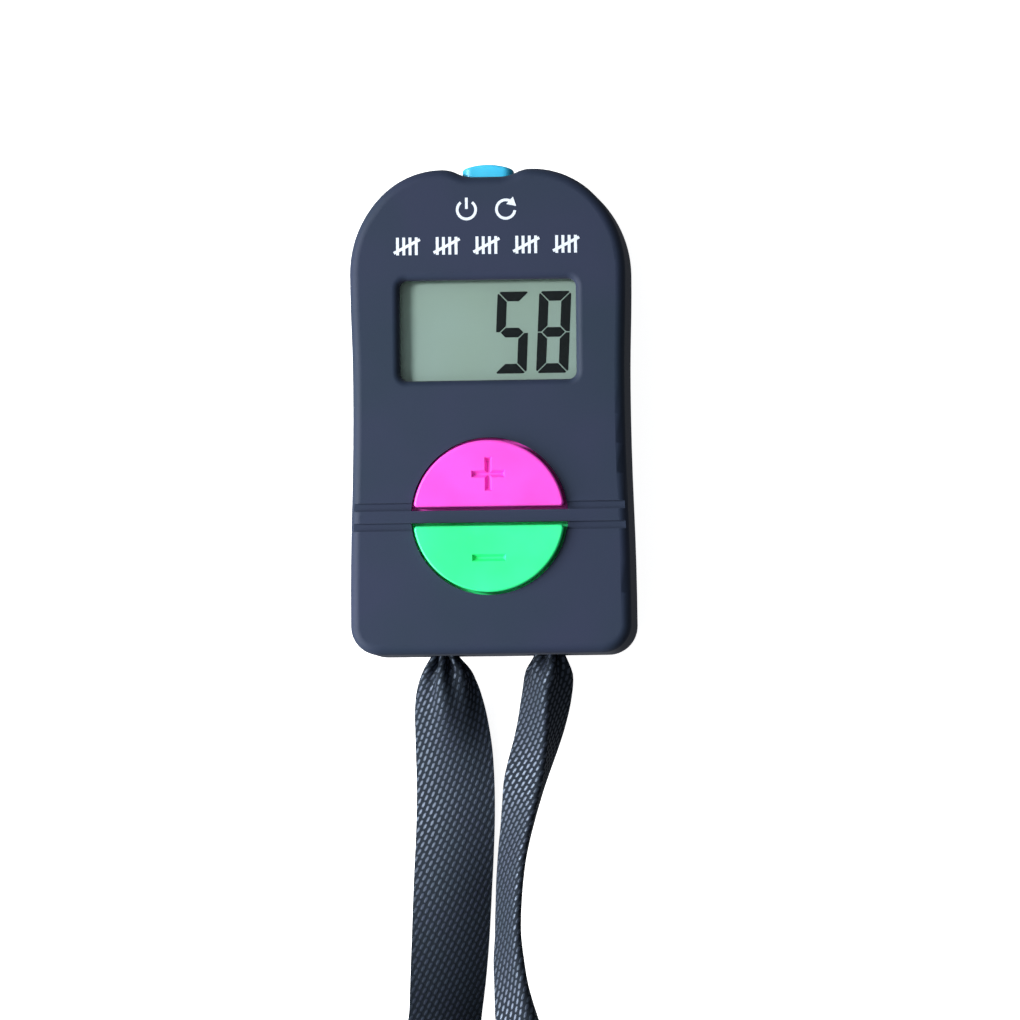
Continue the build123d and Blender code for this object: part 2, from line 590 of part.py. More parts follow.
def reset_button():
    """A cap with a curved top, and a flange behind the wall."""
    half = RESET_WIDTH / 2
    edge_y = TIP_Y - RESET_DOME
    side_view = make_face(Curve() + [
        Polyline((half, edge_y), (half, RESET_FLANGE_Y), (-half, RESET_FLANGE_Y), (-half, edge_y)),
        ThreePointArc((-half, edge_y), (0, TIP_Y), (half, edge_y)),
    ])
    cap = slab(side_view, RESET_Z - RESET_DEPTH / 2, RESET_Z + RESET_DEPTH / 2)
    end_view = Plane.XZ.offset(-RESET_FLANGE_Y) * Pos(0, RESET_Z)
    end_view = end_view * RectangleRounded(RESET_WIDTH, RESET_DEPTH, RESET_CORNER)
    cap &= extrude(end_view, amount=-(TIP_Y - RESET_FLANGE_Y))
    top = [e for e in cap.edges() if e.center().Y > edge_y - NEAR]
    cap = fillet(top, RESET_FILLET)
    flange_rise = RESET_DEPTH / 2 + RESET_FLANGE_RISE
    return cap + block(even(half + RESET_FLANGE_REACH), (RESET_FOOT_Y, RESET_FLANGE_Y),
                       (RESET_Z - flange_rise, RESET_Z + flange_rise))


# ---- Battery ----
def battery_cell():
    can = disc(CELL_RADIUS, 0, CELL_Y, CELL_BOTTOM, CELL_TOP - CELL_CAP_HEIGHT)
    can = fillet(can.edges().filter_by(GeomType.CIRCLE), CELL_FILLET)
    return can + disc(CELL_CAP_RADIUS, 0, CELL_Y, CELL_TOP - CELL_CAP_HEIGHT - CELL_FILLET, CELL_TOP)


def battery_positive_contact():
    """A strip that stands against the can's side and ends in a foot under the board."""
    x_span = even(CONTACT_WIDTH / 2)
    leg_span = (POSITIVE_LEG_Y, POSITIVE_LEG_Y + CONTACT_THICKNESS)
    leg = block(x_span, leg_span, (CELL_BOTTOM, BOARD_BOTTOM))
    foot = block(x_span, (POSITIVE_LEG_Y, POSITIVE_LEG_Y + CONTACT_FOOT),
                 (BOARD_BOTTOM - CONTACT_THICKNESS, BOARD_BOTTOM))
    return leg + foot


def battery_negative_contact():
    """A leaf under the well's ceiling that dips onto the cell's cap, with a leg and a foot."""
    x_span = even(CONTACT_WIDTH / 2)
    top = CEILING_BOTTOM
    crest = [
        (NEGATIVE_LEG_Y + CONTACT_THICKNESS, top), (CELL_Y + CELL_CAP_RADIUS, top),
        (CELL_Y, CELL_TOP + CONTACT_THICKNESS), (CELL_Y - CELL_CAP_RADIUS / 2, top),
    ]
    under = [(y, z - CONTACT_THICKNESS) for y, z in reversed(crest)]
    leaf = make_face(Polyline(*crest, *under, close=True))
    leaf = Plane.YZ.offset(-CONTACT_WIDTH / 2) * leaf
    leg = block(x_span, (NEGATIVE_LEG_Y, NEGATIVE_LEG_Y + CONTACT_THICKNESS),
                (top - CONTACT_THICKNESS, BOARD_BOTTOM))
    foot = block(x_span, (NEGATIVE_LEG_Y, NEGATIVE_LEG_Y + CONTACT_FOOT),
                 (BOARD_BOTTOM - CONTACT_THICKNESS, BOARD_BOTTOM))
    return extrude(leaf, amount=CONTACT_WIDTH) + leg + foot


def battery_cover():
    """A flush plate with a countersunk screw hole at one end and finger grooves at the other."""
    low, high = RECESS_LOW_Y, RECESS_HIGH_Y
    plate = Pos(0, (low + high) / 2) * RectangleRounded(2 * WELL_OUTER, high - low, COVER_CORNER)
    cover = slab(plate, 0, COVER_THICKNESS)
    cover -= disc(COVER_HEAD_RADIUS + CASE_HEAD_CLEARANCE, 0, COVER_SCREW_Y, -1,
                  COVER_HEAD_RECESS + COVER_HEAD_HEIGHT)
    cover -= disc(COVER_SCREW_RADIUS + CASE_SCREW_CLEARANCE, 0, COVER_SCREW_Y, 0, COVER_THICKNESS)
    for index in range(COVER_GRIPS):
        y = low + (index + 1) * GRIP_PITCH
        cover -= block(even(GRIP_LENGTH / 2), (y, y + GRIP_WIDTH), (-1, GRIP_DEPTH))
    return cover


def battery_cover_screw():
    screw = pan_screw(COVER_SCREW_RADIUS, COVER_SCREW_LENGTH, COVER_HEAD_RADIUS, COVER_HEAD_HEIGHT)
    return Pos(0, COVER_SCREW_Y, COVER_HEAD_RECESS + COVER_HEAD_HEIGHT) * screw


# ---- Lanyard ----
def strand_path(points):
    """Straight runs joined by arcs as large as the runs allow. Prints each arc's radius."""
    corners = []
    for before, here, after in zip(points, points[1:], points[2:]):
        inward, outward = here - before, after - here
        shorter = min(inward.length, outward.length)
        corners.append(0.45 * shorter / tan(radians(inward.get_angle(outward)) / 2))
    print("ribbon radii, mm:", [round(radius, 1) for radius in corners])
    return FilletPolyline(*points, radius=corners)


def lanyard_strand(exit_x, route):
    points = [Vector(exit_x + x, BOTTOM_Y + y, z) for x, y, z in route]
    path = strand_path(points)
    plane = Plane(origin=points[0], x_dir=(1, 0, 0), z_dir=path % 0)
    strand = sweep(plane * Rectangle(RIBBON_BUNCH, RIBBON_THICKNESS), path=path)
    print("ribbon length", round(path.length, 1), "section volume", round(
        RIBBON_BUNCH * RIBBON_THICKNESS * path.length, 1), "solid volume", round(strand.volume, 1))
    return strand


def lanyard_knot(exit_x):
    knot = Box(*KNOT)
    knot = fillet(knot.edges(), KNOT_FILLET)
    return Pos(exit_x, KNOT_Y + KNOT[1] / 2, REAR_DEPTH) * knot


def lanyard_hank():
    """The put-away length of ribbon: a flat bundle, drawn in at its middle by the tie."""
    middle_x, end_y = hank_place()
    right = [(middle_x + x, end_y - y) for x, y in HANK_HALF]
    left = [(middle_x - x, end_y - y) for x, y in reversed(HANK_HALF)]
    outline = make_face(Polyline(*right, *left, close=True))
    outline = fillet(outline.vertices(), HANK_FILLET)
    waist_y = end_y - HANK_WAIST_FROM_END
    y_span = (waist_y - TIE_WIDTH / 2, waist_y + TIE_WIDTH / 2)
    width, height = TIE_OPENING
    around = block((middle_x - width, middle_x + width), y_span, (-1, HANK_HEIGHT + 1))
    around -= block((middle_x - width / 2, middle_x + width / 2), y_span,
                    (TIE_THICKNESS, TIE_THICKNESS + height))
    return slab(outline, 0, HANK_HEIGHT) - around


def hank_place():
    """Middle line and near end of the hank, where both strands reach it."""
    left, right = LEFT_ROUTE[-1], RIGHT_ROUTE[-1]
    return ((left[0] - EXIT_X) + (right[0] + EXIT_X)) / 2, BOTTOM_Y + left[1]


def hank_tie():
    middle_x, end_y = hank_place()
    width, height = TIE_OPENING
    ring = Rectangle(width + 2 * TIE_THICKNESS, height + 2 * TIE_THICKNESS)
    ring = fillet(ring.vertices(), TIE_CORNER) - Rectangle(width, height)
    low_y = end_y - HANK_WAIST_FROM_END - TIE_WIDTH / 2
    middle_z = TIE_THICKNESS + height / 2
    return extrude(Plane.XZ.offset(-low_y) * Pos(middle_x, middle_z) * ring, amount=-TIE_WIDTH)


def all_parts():
    hank = lanyard_hank()
    parts = {
        "front_case": front_case(),
        "rear_case": rear_case(),
        "case_screws": case_screws(),
        "display_window": display_window(),
        "window_tape": window_tape(),
        "zebra_strip": zebra_strip(),
        "lcd_holder": lcd_holder(),
        "circuit_board": circuit_board(),
        "chip_blob": chip_blob(),
        "chip_capacitors": chip_capacitors(),
        "board_screws": board_screws(),
        "plus_button": counting_button(1),
        "minus_button": counting_button(-1),
        "reset_button": reset_button(),
        "battery_cell": battery_cell(),
        "battery_positive_contact": battery_positive_contact(),
        "battery_negative_contact": battery_negative_contact(),
        "battery_cover": battery_cover(),
        "battery_cover_screw": battery_cover_screw(),
        "lanyard_knot_left": lanyard_knot(-EXIT_X),
        "lanyard_knot_right": lanyard_knot(EXIT_X),
        "lanyard_strand_left": lanyard_strand(-EXIT_X, LEFT_ROUTE) - hank,
        "lanyard_strand_right": lanyard_strand(EXIT_X, RIGHT_ROUTE) - hank,
        "lanyard_hank": hank,
        "hank_tie": hank_tie(),
    }
    parts.update(lcd_layers())
    for name, side in (("plus", 1), ("minus", -1)):
        place = Pos(0, BUTTONS_Y + side * SWITCH_OFFSET, BOARD_TOP)
        parts.update(tact_switch(name, SWITCH_SIZE, SWITCH_SIZE, STEM_RADIUS, place))
    on_its_side = Pos(0, RESET_FOOT_Y - SWITCH_HEIGHT, RESET_Z) * Rot(-90, 0, 0)
    parts.update(tact_switch("reset", SWITCH_SIZE, SIDE_SWITCH_HEIGHT, SIDE_STEM_RADIUS, on_its_side))
    return parts


os.makedirs("parts", exist_ok=True)
for node, shape in all_parts().items():
    export_step(shape, f"parts/{node}.step")
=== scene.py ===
"""Looks of a pocket tally counter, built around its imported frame.

Lengths are metres in the frame's own axes: X right across the face, Y up the face, Z out of it.
A size written in millimetres is multiplied by MM.
"""

import logging
import math
from dataclasses import dataclass
from enum import Enum
from typing import Sequence

import bpy
import numpy as np
from mathutils import Matrix, Vector


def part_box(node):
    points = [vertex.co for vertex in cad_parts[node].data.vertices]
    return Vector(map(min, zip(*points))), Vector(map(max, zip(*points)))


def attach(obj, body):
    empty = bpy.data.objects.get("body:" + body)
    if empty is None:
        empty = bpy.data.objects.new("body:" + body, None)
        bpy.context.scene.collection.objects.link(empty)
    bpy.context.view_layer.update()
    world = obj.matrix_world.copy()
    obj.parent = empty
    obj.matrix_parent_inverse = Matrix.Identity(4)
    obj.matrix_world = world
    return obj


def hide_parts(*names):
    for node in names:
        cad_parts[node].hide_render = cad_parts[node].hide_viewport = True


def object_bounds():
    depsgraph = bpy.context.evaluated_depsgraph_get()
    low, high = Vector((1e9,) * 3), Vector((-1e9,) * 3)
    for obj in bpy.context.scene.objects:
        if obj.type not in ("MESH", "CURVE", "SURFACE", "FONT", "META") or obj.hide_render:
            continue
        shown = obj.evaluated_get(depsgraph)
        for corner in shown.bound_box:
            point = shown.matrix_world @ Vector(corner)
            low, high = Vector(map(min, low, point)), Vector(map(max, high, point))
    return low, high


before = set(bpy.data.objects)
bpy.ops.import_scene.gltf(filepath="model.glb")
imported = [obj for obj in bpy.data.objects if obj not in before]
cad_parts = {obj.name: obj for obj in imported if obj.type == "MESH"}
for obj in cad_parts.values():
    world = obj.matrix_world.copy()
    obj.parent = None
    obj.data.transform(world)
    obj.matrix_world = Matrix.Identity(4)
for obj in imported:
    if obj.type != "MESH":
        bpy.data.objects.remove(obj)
cad_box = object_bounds()

MM = 0.001
log = logging.getLogger("tally_counter")

Pair = tuple[float, float]
Point = tuple[float, float, float]

# Noise keeps to the middle of its range, and these spans spread it out: for slow drifts, and for grain.
DRIFT_SPAN = {"From Min": 0.35, "From Max": 0.65}
GRAIN_SPAN = {"From Min": 0.3, "From Max": 0.7}
# A Mix node's colour sockets go by number, because its other sockets share their names.
SHARE, FIRST, SECOND, MIXED = 0, 6, 7, 2


# ---- Helpers ----
def linear(colour: str) -> tuple[float, float, float, float]:
    """Turns an sRGB hex value into linear colour.

    Args:
        colour: Such as "#36404f".

    Returns:
        Red, green, blue and a full alpha.
    """
    shares = [int(colour[i:i + 2], 16) / 255 for i in (1, 3, 5)]
    return (*[s / 12.92 if s <= 0.04045 else ((s + 0.055) / 1.055) ** 2.4 for s in shares], 1.0)


def add_node(tree: bpy.types.NodeTree, kind: str, inputs: dict | None = None, **settings) -> bpy.types.Node:
    """Adds one shader node.

    Args:
        tree: The material's node tree.
        kind: The node's type, without the words that every shader node's type starts with.
        inputs: By socket name or number, a value to set, or an output to link. A node stands for its
            first output.
        **settings: The node's own properties.

    Returns:
        The new node.
    """
    node = tree.nodes.new("ShaderNode" + kind)
    for name, value in settings.items():
        setattr(node, name, value)
    for name, value in (inputs or {}).items():
        if isinstance(value, bpy.types.Node):
            value = value.outputs[0]
        if isinstance(value, bpy.types.NodeSocket):
            tree.links.new(value, node.inputs[name])
        else:
            node.inputs[name].default_value = value
    return node


def start_material(name: str) -> tuple[bpy.types.Material, bpy.types.NodeTree]:
    """Makes a material with an empty node tree."""
    material = bpy.data.materials.new(name)
    material.use_nodes = True
    material.node_tree.nodes.clear()
    return material, material.node_tree


def close_surface(tree: bpy.types.NodeTree, surface: dict) -> None:
    """Ends a node tree with a Principled shader that has these values and links."""
    shader = add_node(tree, "BsdfPrincipled", surface)
    add_node(tree, "OutputMaterial", {"Surface": shader})


def dress(finish: bpy.types.Material, *nodes: str) -> None:
    """Gives CAD nodes a finish in all of their material slots.

    Args:
        finish: The material.
        *nodes: The nodes' names.
    """
    for name in nodes:
        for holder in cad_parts[name].material_slots:
            holder.material = finish
        log.info("%s is %s", name, finish.name)


def only(*pieces: bpy.types.Object) -> None:
    """Selects these objects and nothing else, and makes the first one active."""
    bpy.ops.object.select_all(action="DESELECT")
    for piece in pieces:
        piece.select_set(True)
    bpy.context.view_layer.objects.active = pieces[0]


def fix_place(piece: bpy.types.Object) -> None:
    """Moves an object's place, turn and size into its mesh."""
    only(piece)
    bpy.ops.object.transform_apply(location=True, rotation=True, scale=True)


def flat_bar(span_x: Pair, span_y: Pair, height: float) -> bpy.types.Object:
    """Adds a flat rectangle that faces up.

    Args:
        span_x: Its two ends along X.
        span_y: Its two ends along Y.
        height: Its place along Z.

    Returns:
        The rectangle, with its place in its mesh.
    """
    bpy.ops.object.select_all(action="DESELECT")
    middle = ((span_x[0] + span_x[1]) / 2, (span_y[0] + span_y[1]) / 2, height)
    bpy.ops.mesh.primitive_plane_add(size=1, location=middle)
    bar = bpy.context.object
    bar.scale = (span_x[1] - span_x[0], span_y[1] - span_y[0], 1)
    fix_place(bar)
    return bar


def cut_away(piece: bpy.types.Object, cuts: Sequence[tuple[Point, Point]]) -> None:
    """Cuts a mesh by planes and drops what lies beyond each.

    Args:
        piece: The mesh object.
        cuts: A point on each plane, and the direction of the side that goes.
    """
    only(piece)
    bpy.ops.object.mode_set(mode="EDIT")
    for point, beyond in cuts:
        bpy.ops.mesh.select_all(action="SELECT")
        bpy.ops.mesh.bisect(plane_co=point, plane_no=beyond, clear_outer=True, threshold=1e-7)
    bpy.ops.object.mode_set(mode="OBJECT")


def thicken_up(piece: bpy.types.Object, thickness: float) -> None:
    """Extrudes a flat mesh upwards into a closed plate."""
    only(piece)
    bpy.ops.object.mode_set(mode="EDIT")
    bpy.ops.mesh.select_all(action="SELECT")
    bpy.ops.mesh.remove_doubles(threshold=1e-6)
    bpy.ops.mesh.extrude_region_move(TRANSFORM_OT_translate={"value": (0, 0, thickness)})
    bpy.ops.mesh.select_all(action="SELECT")
    bpy.ops.mesh.normals_make_consistent(inside=False)
    bpy.ops.object.mode_set(mode="OBJECT")


def join_as(name: str, parts: Sequence[bpy.types.Object], finish: bpy.types.Material) -> bpy.types.Object:
    """Joins meshes into one named piece.

    Args:
        name: The piece's name.
        parts: The meshes.
        finish: Its material.

    Returns:
        The joined piece.
    """
    only(*parts)
    bpy.ops.object.join()
    piece = bpy.context.object
    piece.name = piece.data.name = name
    piece.data.materials.clear()
    piece.data.materials.append(finish)
    return piece


# ---- Finishes ----
@dataclass(frozen=True)
class Moulded:
    """A moulded or sprayed polymer: an even colour that drifts a little, over a fine grain."""

    name: str
    colour: str
    drift: str                  # the colour that it drifts towards
    roughness: float
    grain_mm: float
    bump_mm: float
    drift_mm: float = 9.0
    specular: float = 0.5
    coat: float = 0.0
    sheen: float = 0.0
    glow_in: float = 0.0        # how much light goes in and scatters, as in bright pigmented plastic

    def make(self) -> bpy.types.Material:
        """Builds the material."""
        material, tree = start_material(self.name)
        place = add_node(tree, "TexCoord").outputs["Object"]
        slow = add_node(tree, "TexNoise", {"Vector": place, "Scale": 1 / (self.drift_mm * MM)})
        share = add_node(tree, "MapRange", {"Value": slow} | DRIFT_SPAN)
        colours = {SHARE: share, FIRST: linear(self.colour), SECOND: linear(self.drift)}
        grain = {"Vector": place, "Scale": 1 / (self.grain_mm * MM), "Detail": 3.0}
        fine = add_node(tree, "TexNoise", grain)
        rough = {"Value": fine, "To Min": self.roughness - 0.04, "To Max": self.roughness + 0.05}
        close_surface(tree, {
            "Base Color": add_node(tree, "Mix", colours, data_type="RGBA").outputs[MIXED],
            "Roughness": add_node(tree, "MapRange", rough | GRAIN_SPAN),
            "Specular IOR Level": self.specular,
            "Coat Weight": self.coat, "Coat Roughness": 0.25,
            "Sheen Weight": self.sheen, "Sheen Roughness": 0.5,
            "Subsurface Weight": self.glow_in, "Subsurface Scale": 0.6 * MM,
            "Normal": add_node(tree, "Bump", {"Height": fine, "Distance": self.bump_mm * MM})})
        return material


@dataclass(frozen=True)
class SheetMetal:
    """Rolled or turned metal: fine marks along one direction."""

    name: str
    colour: str
    roughness: float
    marks_mm: Point             # length of the marks along each axis
    bump_mm: float = 0.004
    worn: float = 0.72          # brightness of the duller streaks

    def make(self) -> bpy.types.Material:
        """Builds the material."""
        material, tree = start_material(self.name)
        place = add_node(tree, "TexCoord").outputs["Object"]
        stretch = {"Vector": place, "Scale": [1 / (length * MM) for length in self.marks_mm]}
        stretched = add_node(tree, "Mapping", stretch)
        marks = add_node(tree, "TexNoise", {"Vector": stretched, "Scale": 1.0, "Detail": 3.0})
        bright = linear(self.colour)
        worn = tuple(c * self.worn for c in bright[:3]) + (1.0,)
        share = add_node(tree, "MapRange", {"Value": marks} | GRAIN_SPAN)
        colours = {SHARE: share, FIRST: bright, SECOND: worn}
        rough = {"Value": marks, "To Min": self.roughness * 0.8, "To Max": self.roughness * 1.3}
        close_surface(tree, {
            "Base Color": add_node(tree, "Mix", colours, data_type="RGBA").outputs[MIXED],
            "Metallic": 1.0,
            "Roughness": add_node(tree, "MapRange", rough | GRAIN_SPAN),
            "Normal": add_node(tree, "Bump", {"Height": marks, "Distance": self.bump_mm * MM})})
        return material


@dataclass(frozen=True)
class Clouded:
    """An even skin whose tone drifts between two close colours."""

    name: str
    colour: str
    drift: str
    drift_mm: float
    surface: dict               # the shader's own values

    def make(self) -> bpy.types.Material:
        """Builds the material."""
        material, tree = start_material(self.name)
        place = add_node(tree, "TexCoord").outputs["Object"]
        cloud = add_node(tree, "TexNoise", {"Vector": place, "Scale": 1 / (self.drift_mm * MM)})
        tints = {SHARE: cloud, FIRST: linear(self.colour), SECOND: linear(self.drift)}
        mixed = add_node(tree, "Mix", tints, data_type="RGBA").outputs[MIXED]
        close_surface(tree, {"Base Color": mixed} | self.surface)
        return material


class Finish(Enum):
    """Every finish that needs no pattern of its own."""

    # Sprayed soft-touch lacquer over ABS: matt, blue-black, with wide weak highlights.
    SOFT_TOUCH = Moulded("Soft_touch_lacquered_ABS", "#212f42", "#262f47", 0.6, 0.16, 0.006, 14.0,
                         specular=0.25, sheen=0.04)
    # Fluorescent moulded ABS: saturated, nearly even, with a satin skin and soft edges.
    PINK = Moulded("Fluorescent_pink_moulded_ABS", "#fb4ccf", "#ff53da", 0.42, 0.22, 0.004, 7.0,
                   specular=0.4, coat=0.1, glow_in=0.12)
    GREEN = Moulded("Fluorescent_green_moulded_ABS", "#2ffb8c", "#38ff9c", 0.42, 0.22, 0.004, 7.0,
                    specular=0.4, coat=0.1, glow_in=0.12)
    BLUE = Moulded("Sky_blue_moulded_ABS", "#38c6f6", "#48d4ff", 0.4, 0.22, 0.004, 4.0,
                   specular=0.4, coat=0.1, glow_in=0.1)
    # Natural moulded polystyrene: milky white with a faint grain.
    HOLDER = Moulded("Natural_moulded_polystyrene", "#dfe0dc", "#d3d5d2", 0.45, 0.2, 0.004)
    # Glass-filled nylon of the switch bodies: dull near-black with a sandy skin.
    SWITCH_BLACK = Moulded("Black_glass_filled_nylon", "#1d1e20", "#26272a", 0.55, 0.12, 0.008)
    # Dropped epoxy over the bonded chip: glossy, slightly uneven black.
    RESIN = Moulded("Dropped_black_epoxy", "#101113", "#17181b", 0.25, 0.9, 0.03, 3.0, coat=0.3)
    # Fired ceramic capacitors: dull tan.
    CERAMIC = Moulded("Fired_tan_ceramic", "#b59a75", "#a68a66", 0.6, 0.1, 0.004, 1.0)
    # Double-sided foam tape: dull black with open cells at the edge.
    TAPE = Moulded("Black_foam_tape", "#17181a", "#212225", 0.8, 0.25, 0.02)
    # Pulled silicone band: dull charcoal with a dusty sheen.
    TIE_RUBBER = Moulded("Charcoal_silicone_band", "#24272d", "#2c3037", 0.6, 0.3, 0.01, 5.0,
                         specular=0.4, sheen=0.15)
    # Zinc-plated screws: cool and bright, with turning marks.
    SCREW = SheetMetal("Zinc_plated_steel", "#c9ccd1", 0.3, (0.3, 0.3, 0.08))
    # Pressed nickel-plated cell can: bright with fine drawn marks.
    CELL = SheetMetal("Nickel_plated_cell_steel", "#d5d3cc", 0.24, (2.0, 0.1, 0.3))
    # Phosphor bronze springs: warm and bright.
    CONTACT = SheetMetal("Phosphor_bronze_strip", "#d3a871", 0.3, (0.1, 1.5, 0.3))
    # Tinned switch covers: pale grey with faint rolling marks.
    SWITCH_METAL = SheetMetal("Tinned_pressed_steel", "#bfc1c2", 0.36, (1.5, 0.1, 0.3))
    # Foil reflector behind the display: pale and satin.
    REFLECTOR = SheetMetal("Satin_aluminium_foil", "#cfd2d0", 0.45, (0.4, 0.4, 0.4))
    # Float glass with a film-coated face: pale green and smooth.
    GLASS = Clouded("Coated_float_glass", "#cfe0d6", "#dcebe3", 8.0,
                    {"Roughness": 0.05, "IOR": 1.52, "Transmission Weight": 0.9})
    # Switched liquid crystal: blue-black, with a slight unevenness.
    SEGMENT = Clouded("Switched_liquid_crystal", "#08151a", "#0f1d22", 1.5,
                      {"Roughness": 0.5, "Specular IOR Level": 0.2})
    # Studio paper, lit from behind as well, so that shadows on it stay faint.
    PAPER = Clouded("Backlit_studio_paper", "#f6f6f6", "#fbfbfb", 50.0,
                    {"Roughness": 0.9, "Specular IOR Level": 0.1,
                     "Emission Color": linear("#ffffff"), "Emission Strength": 0.9})

    def make(self) -> bpy.types.Material:
        """Builds this finish's material, once."""
        return bpy.data.materials.get(self.value.name) or self.value.make()


class ClearPane:
    """Injection-moulded clear acrylic: see-through, and glossy where it is seen at a slant."""

    def make(self) -> bpy.types.Material:
        """Builds the material."""
        material, tree = start_material("Clear_moulded_acrylic")
        place = add_node(tree, "TexCoord").outputs["Object"]
        # Long shallow flow waves from the mould, 6 mm apart, bend the reflections slightly.
        waves = add_node(tree, "TexNoise", {"Vector": place, "Scale": 1 / (6 * MM), "Detail": 0.0})
        bump = add_node(tree, "Bump", {"Height": waves, "Distance": 0.004 * MM})
        through = add_node(tree, "BsdfTransparent", {"Color": linear("#fafcfb")})
        gloss = add_node(tree, "BsdfGlossy", {"Roughness": 0.06, "Normal": bump})
        slant = add_node(tree, "Fresnel", {"IOR": 1.35, "Normal": bump})
        mix = add_node(tree, "MixShader", {0: slant, 1: through, 2: gloss})
        add_node(tree, "OutputMaterial", {"Surface": mix})
        return material


class DisplayFilm:
    """Polariser film on display glass: pale green and matt, with a slight drift in its tone."""

    def make(self) -> bpy.types.Material:
        """Builds the material."""
        material, tree = start_material("Matt_polariser_film")
        place = add_node(tree, "TexCoord").outputs["Object"]
        slow = add_node(tree, "TexNoise", {"Vector": place, "Scale": 1 / (12 * MM), "Detail": 1.0})
        share = add_node(tree, "MapRange", {"Value": slow} | DRIFT_SPAN)
        tints = {SHARE: share, FIRST: linear("#d6f0e8"), SECOND: linear("#d3ede1")}
        # Anti-glare grit, drawn at 0.12 mm because the real 0.02 mm is too fine to show.
        grit = add_node(tree, "TexNoise", {"Vector": place, "Scale": 1 / (0.12 * MM)})
        close_surface(tree, {
            "Base Color": add_node(tree, "Mix", tints, data_type="RGBA").outputs[MIXED],
            "Roughness": 0.5, "Specular IOR Level": 0.3,
            "Normal": add_node(tree, "Bump", {"Height": grit, "Distance": 0.002 * MM})})
        return material


class PrintInk:
    """Pad-printed white ink: flat and matt, thin enough for the lacquer's grain to show through."""

    def make(self) -> bpy.types.Material:
        """Builds the material."""
        material, tree = start_material("Pad_printed_white_ink")
        place = add_node(tree, "TexCoord").outputs["Object"]
        grain = add_node(tree, "TexNoise", {"Vector": place, "Scale": 1 / (0.18 * MM), "Detail": 3.0})
        thin = add_node(tree, "MapRange", {"Value": grain, "From Min": 0.55, "From Max": 0.75, "To Max": 0.6})
        tints = {SHARE: thin, FIRST: linear("#dfe9f5"), SECOND: linear("#a9b6c6")}
        close_surface(tree, {
            "Base Color": add_node(tree, "Mix", tints, data_type="RGBA").outputs[MIXED],
            "Roughness": 0.55, "Specular IOR Level": 0.3,
            "Normal": add_node(tree, "Bump", {"Height": grain, "Distance": 0.006 * MM})})
        return material


class MaskedBoard:
    """Etched fibreglass board: green mask with slightly raised, lighter tracks."""

    def make(self) -> bpy.types.Material:
        """Builds the material."""
        material, tree = start_material("Green_masked_fibreglass")
        place = add_node(tree, "TexCoord").outputs["Object"]
        # Tracks run at a 1.27 mm pitch.
        tracks = add_node(tree, "TexBrick", {
            "Vector": place, "Scale": 1 / (1.27 * MM), "Mortar Size": 0.16, "Mortar Smooth": 0.1,
            "Brick Width": 3.0, "Row Height": 1.0}).outputs["Fac"]
        cloud = add_node(tree, "TexNoise", {"Vector": place, "Scale": 1 / (2 * MM)})
        greens = {SHARE: cloud, FIRST: linear("#0d4a2c"), SECOND: linear("#115534")}
        mask = add_node(tree, "Mix", greens, data_type="RGBA").outputs[MIXED]
        tints = {SHARE: tracks, FIRST: mask, SECOND: linear("#2a7a4c")}
        close_surface(tree, {
            "Base Color": add_node(tree, "Mix", tints, data_type="RGBA").outputs[MIXED],
            "Roughness": 0.35,
            "Normal": add_node(tree, "Bump", {"Height": tracks, "Distance": 0.03 * MM})})
        return material


class ZebraRubber:
    """Layered silicone connector: pink flanks round thin conducting black leaves."""

    def make(self) -> bpy.types.Material:
        """Builds the material."""
        material, tree = start_material("Layered_zebra_silicone")
        place = add_node(tree, "TexCoord").outputs["Object"]
        # Leaves at 0.4 mm, drawn coarser than the real 0.1 mm so that they show.
        leaves = add_node(tree, "TexWave", {
            "Vector": place, "Scale": math.tau / 20 / (0.4 * MM)}, bands_direction="X").outputs["Fac"]
        share = add_node(tree, "MapRange", {"Value": leaves, "From Min": 0.45, "From Max": 0.55})
        tints = {SHARE: share, FIRST: linear("#c98a8c"), SECOND: linear("#1c1a1b")}
        close_surface(tree, {
            "Base Color": add_node(tree, "Mix", tints, data_type="RGBA").outputs[MIXED],
            "Roughness": 0.55})
        return material


class Weave(Enum):
    """Where the ribbon's weave takes its directions from."""

    ALONG_RIBBON = "UVMap"
    IN_PLACE = "Object"


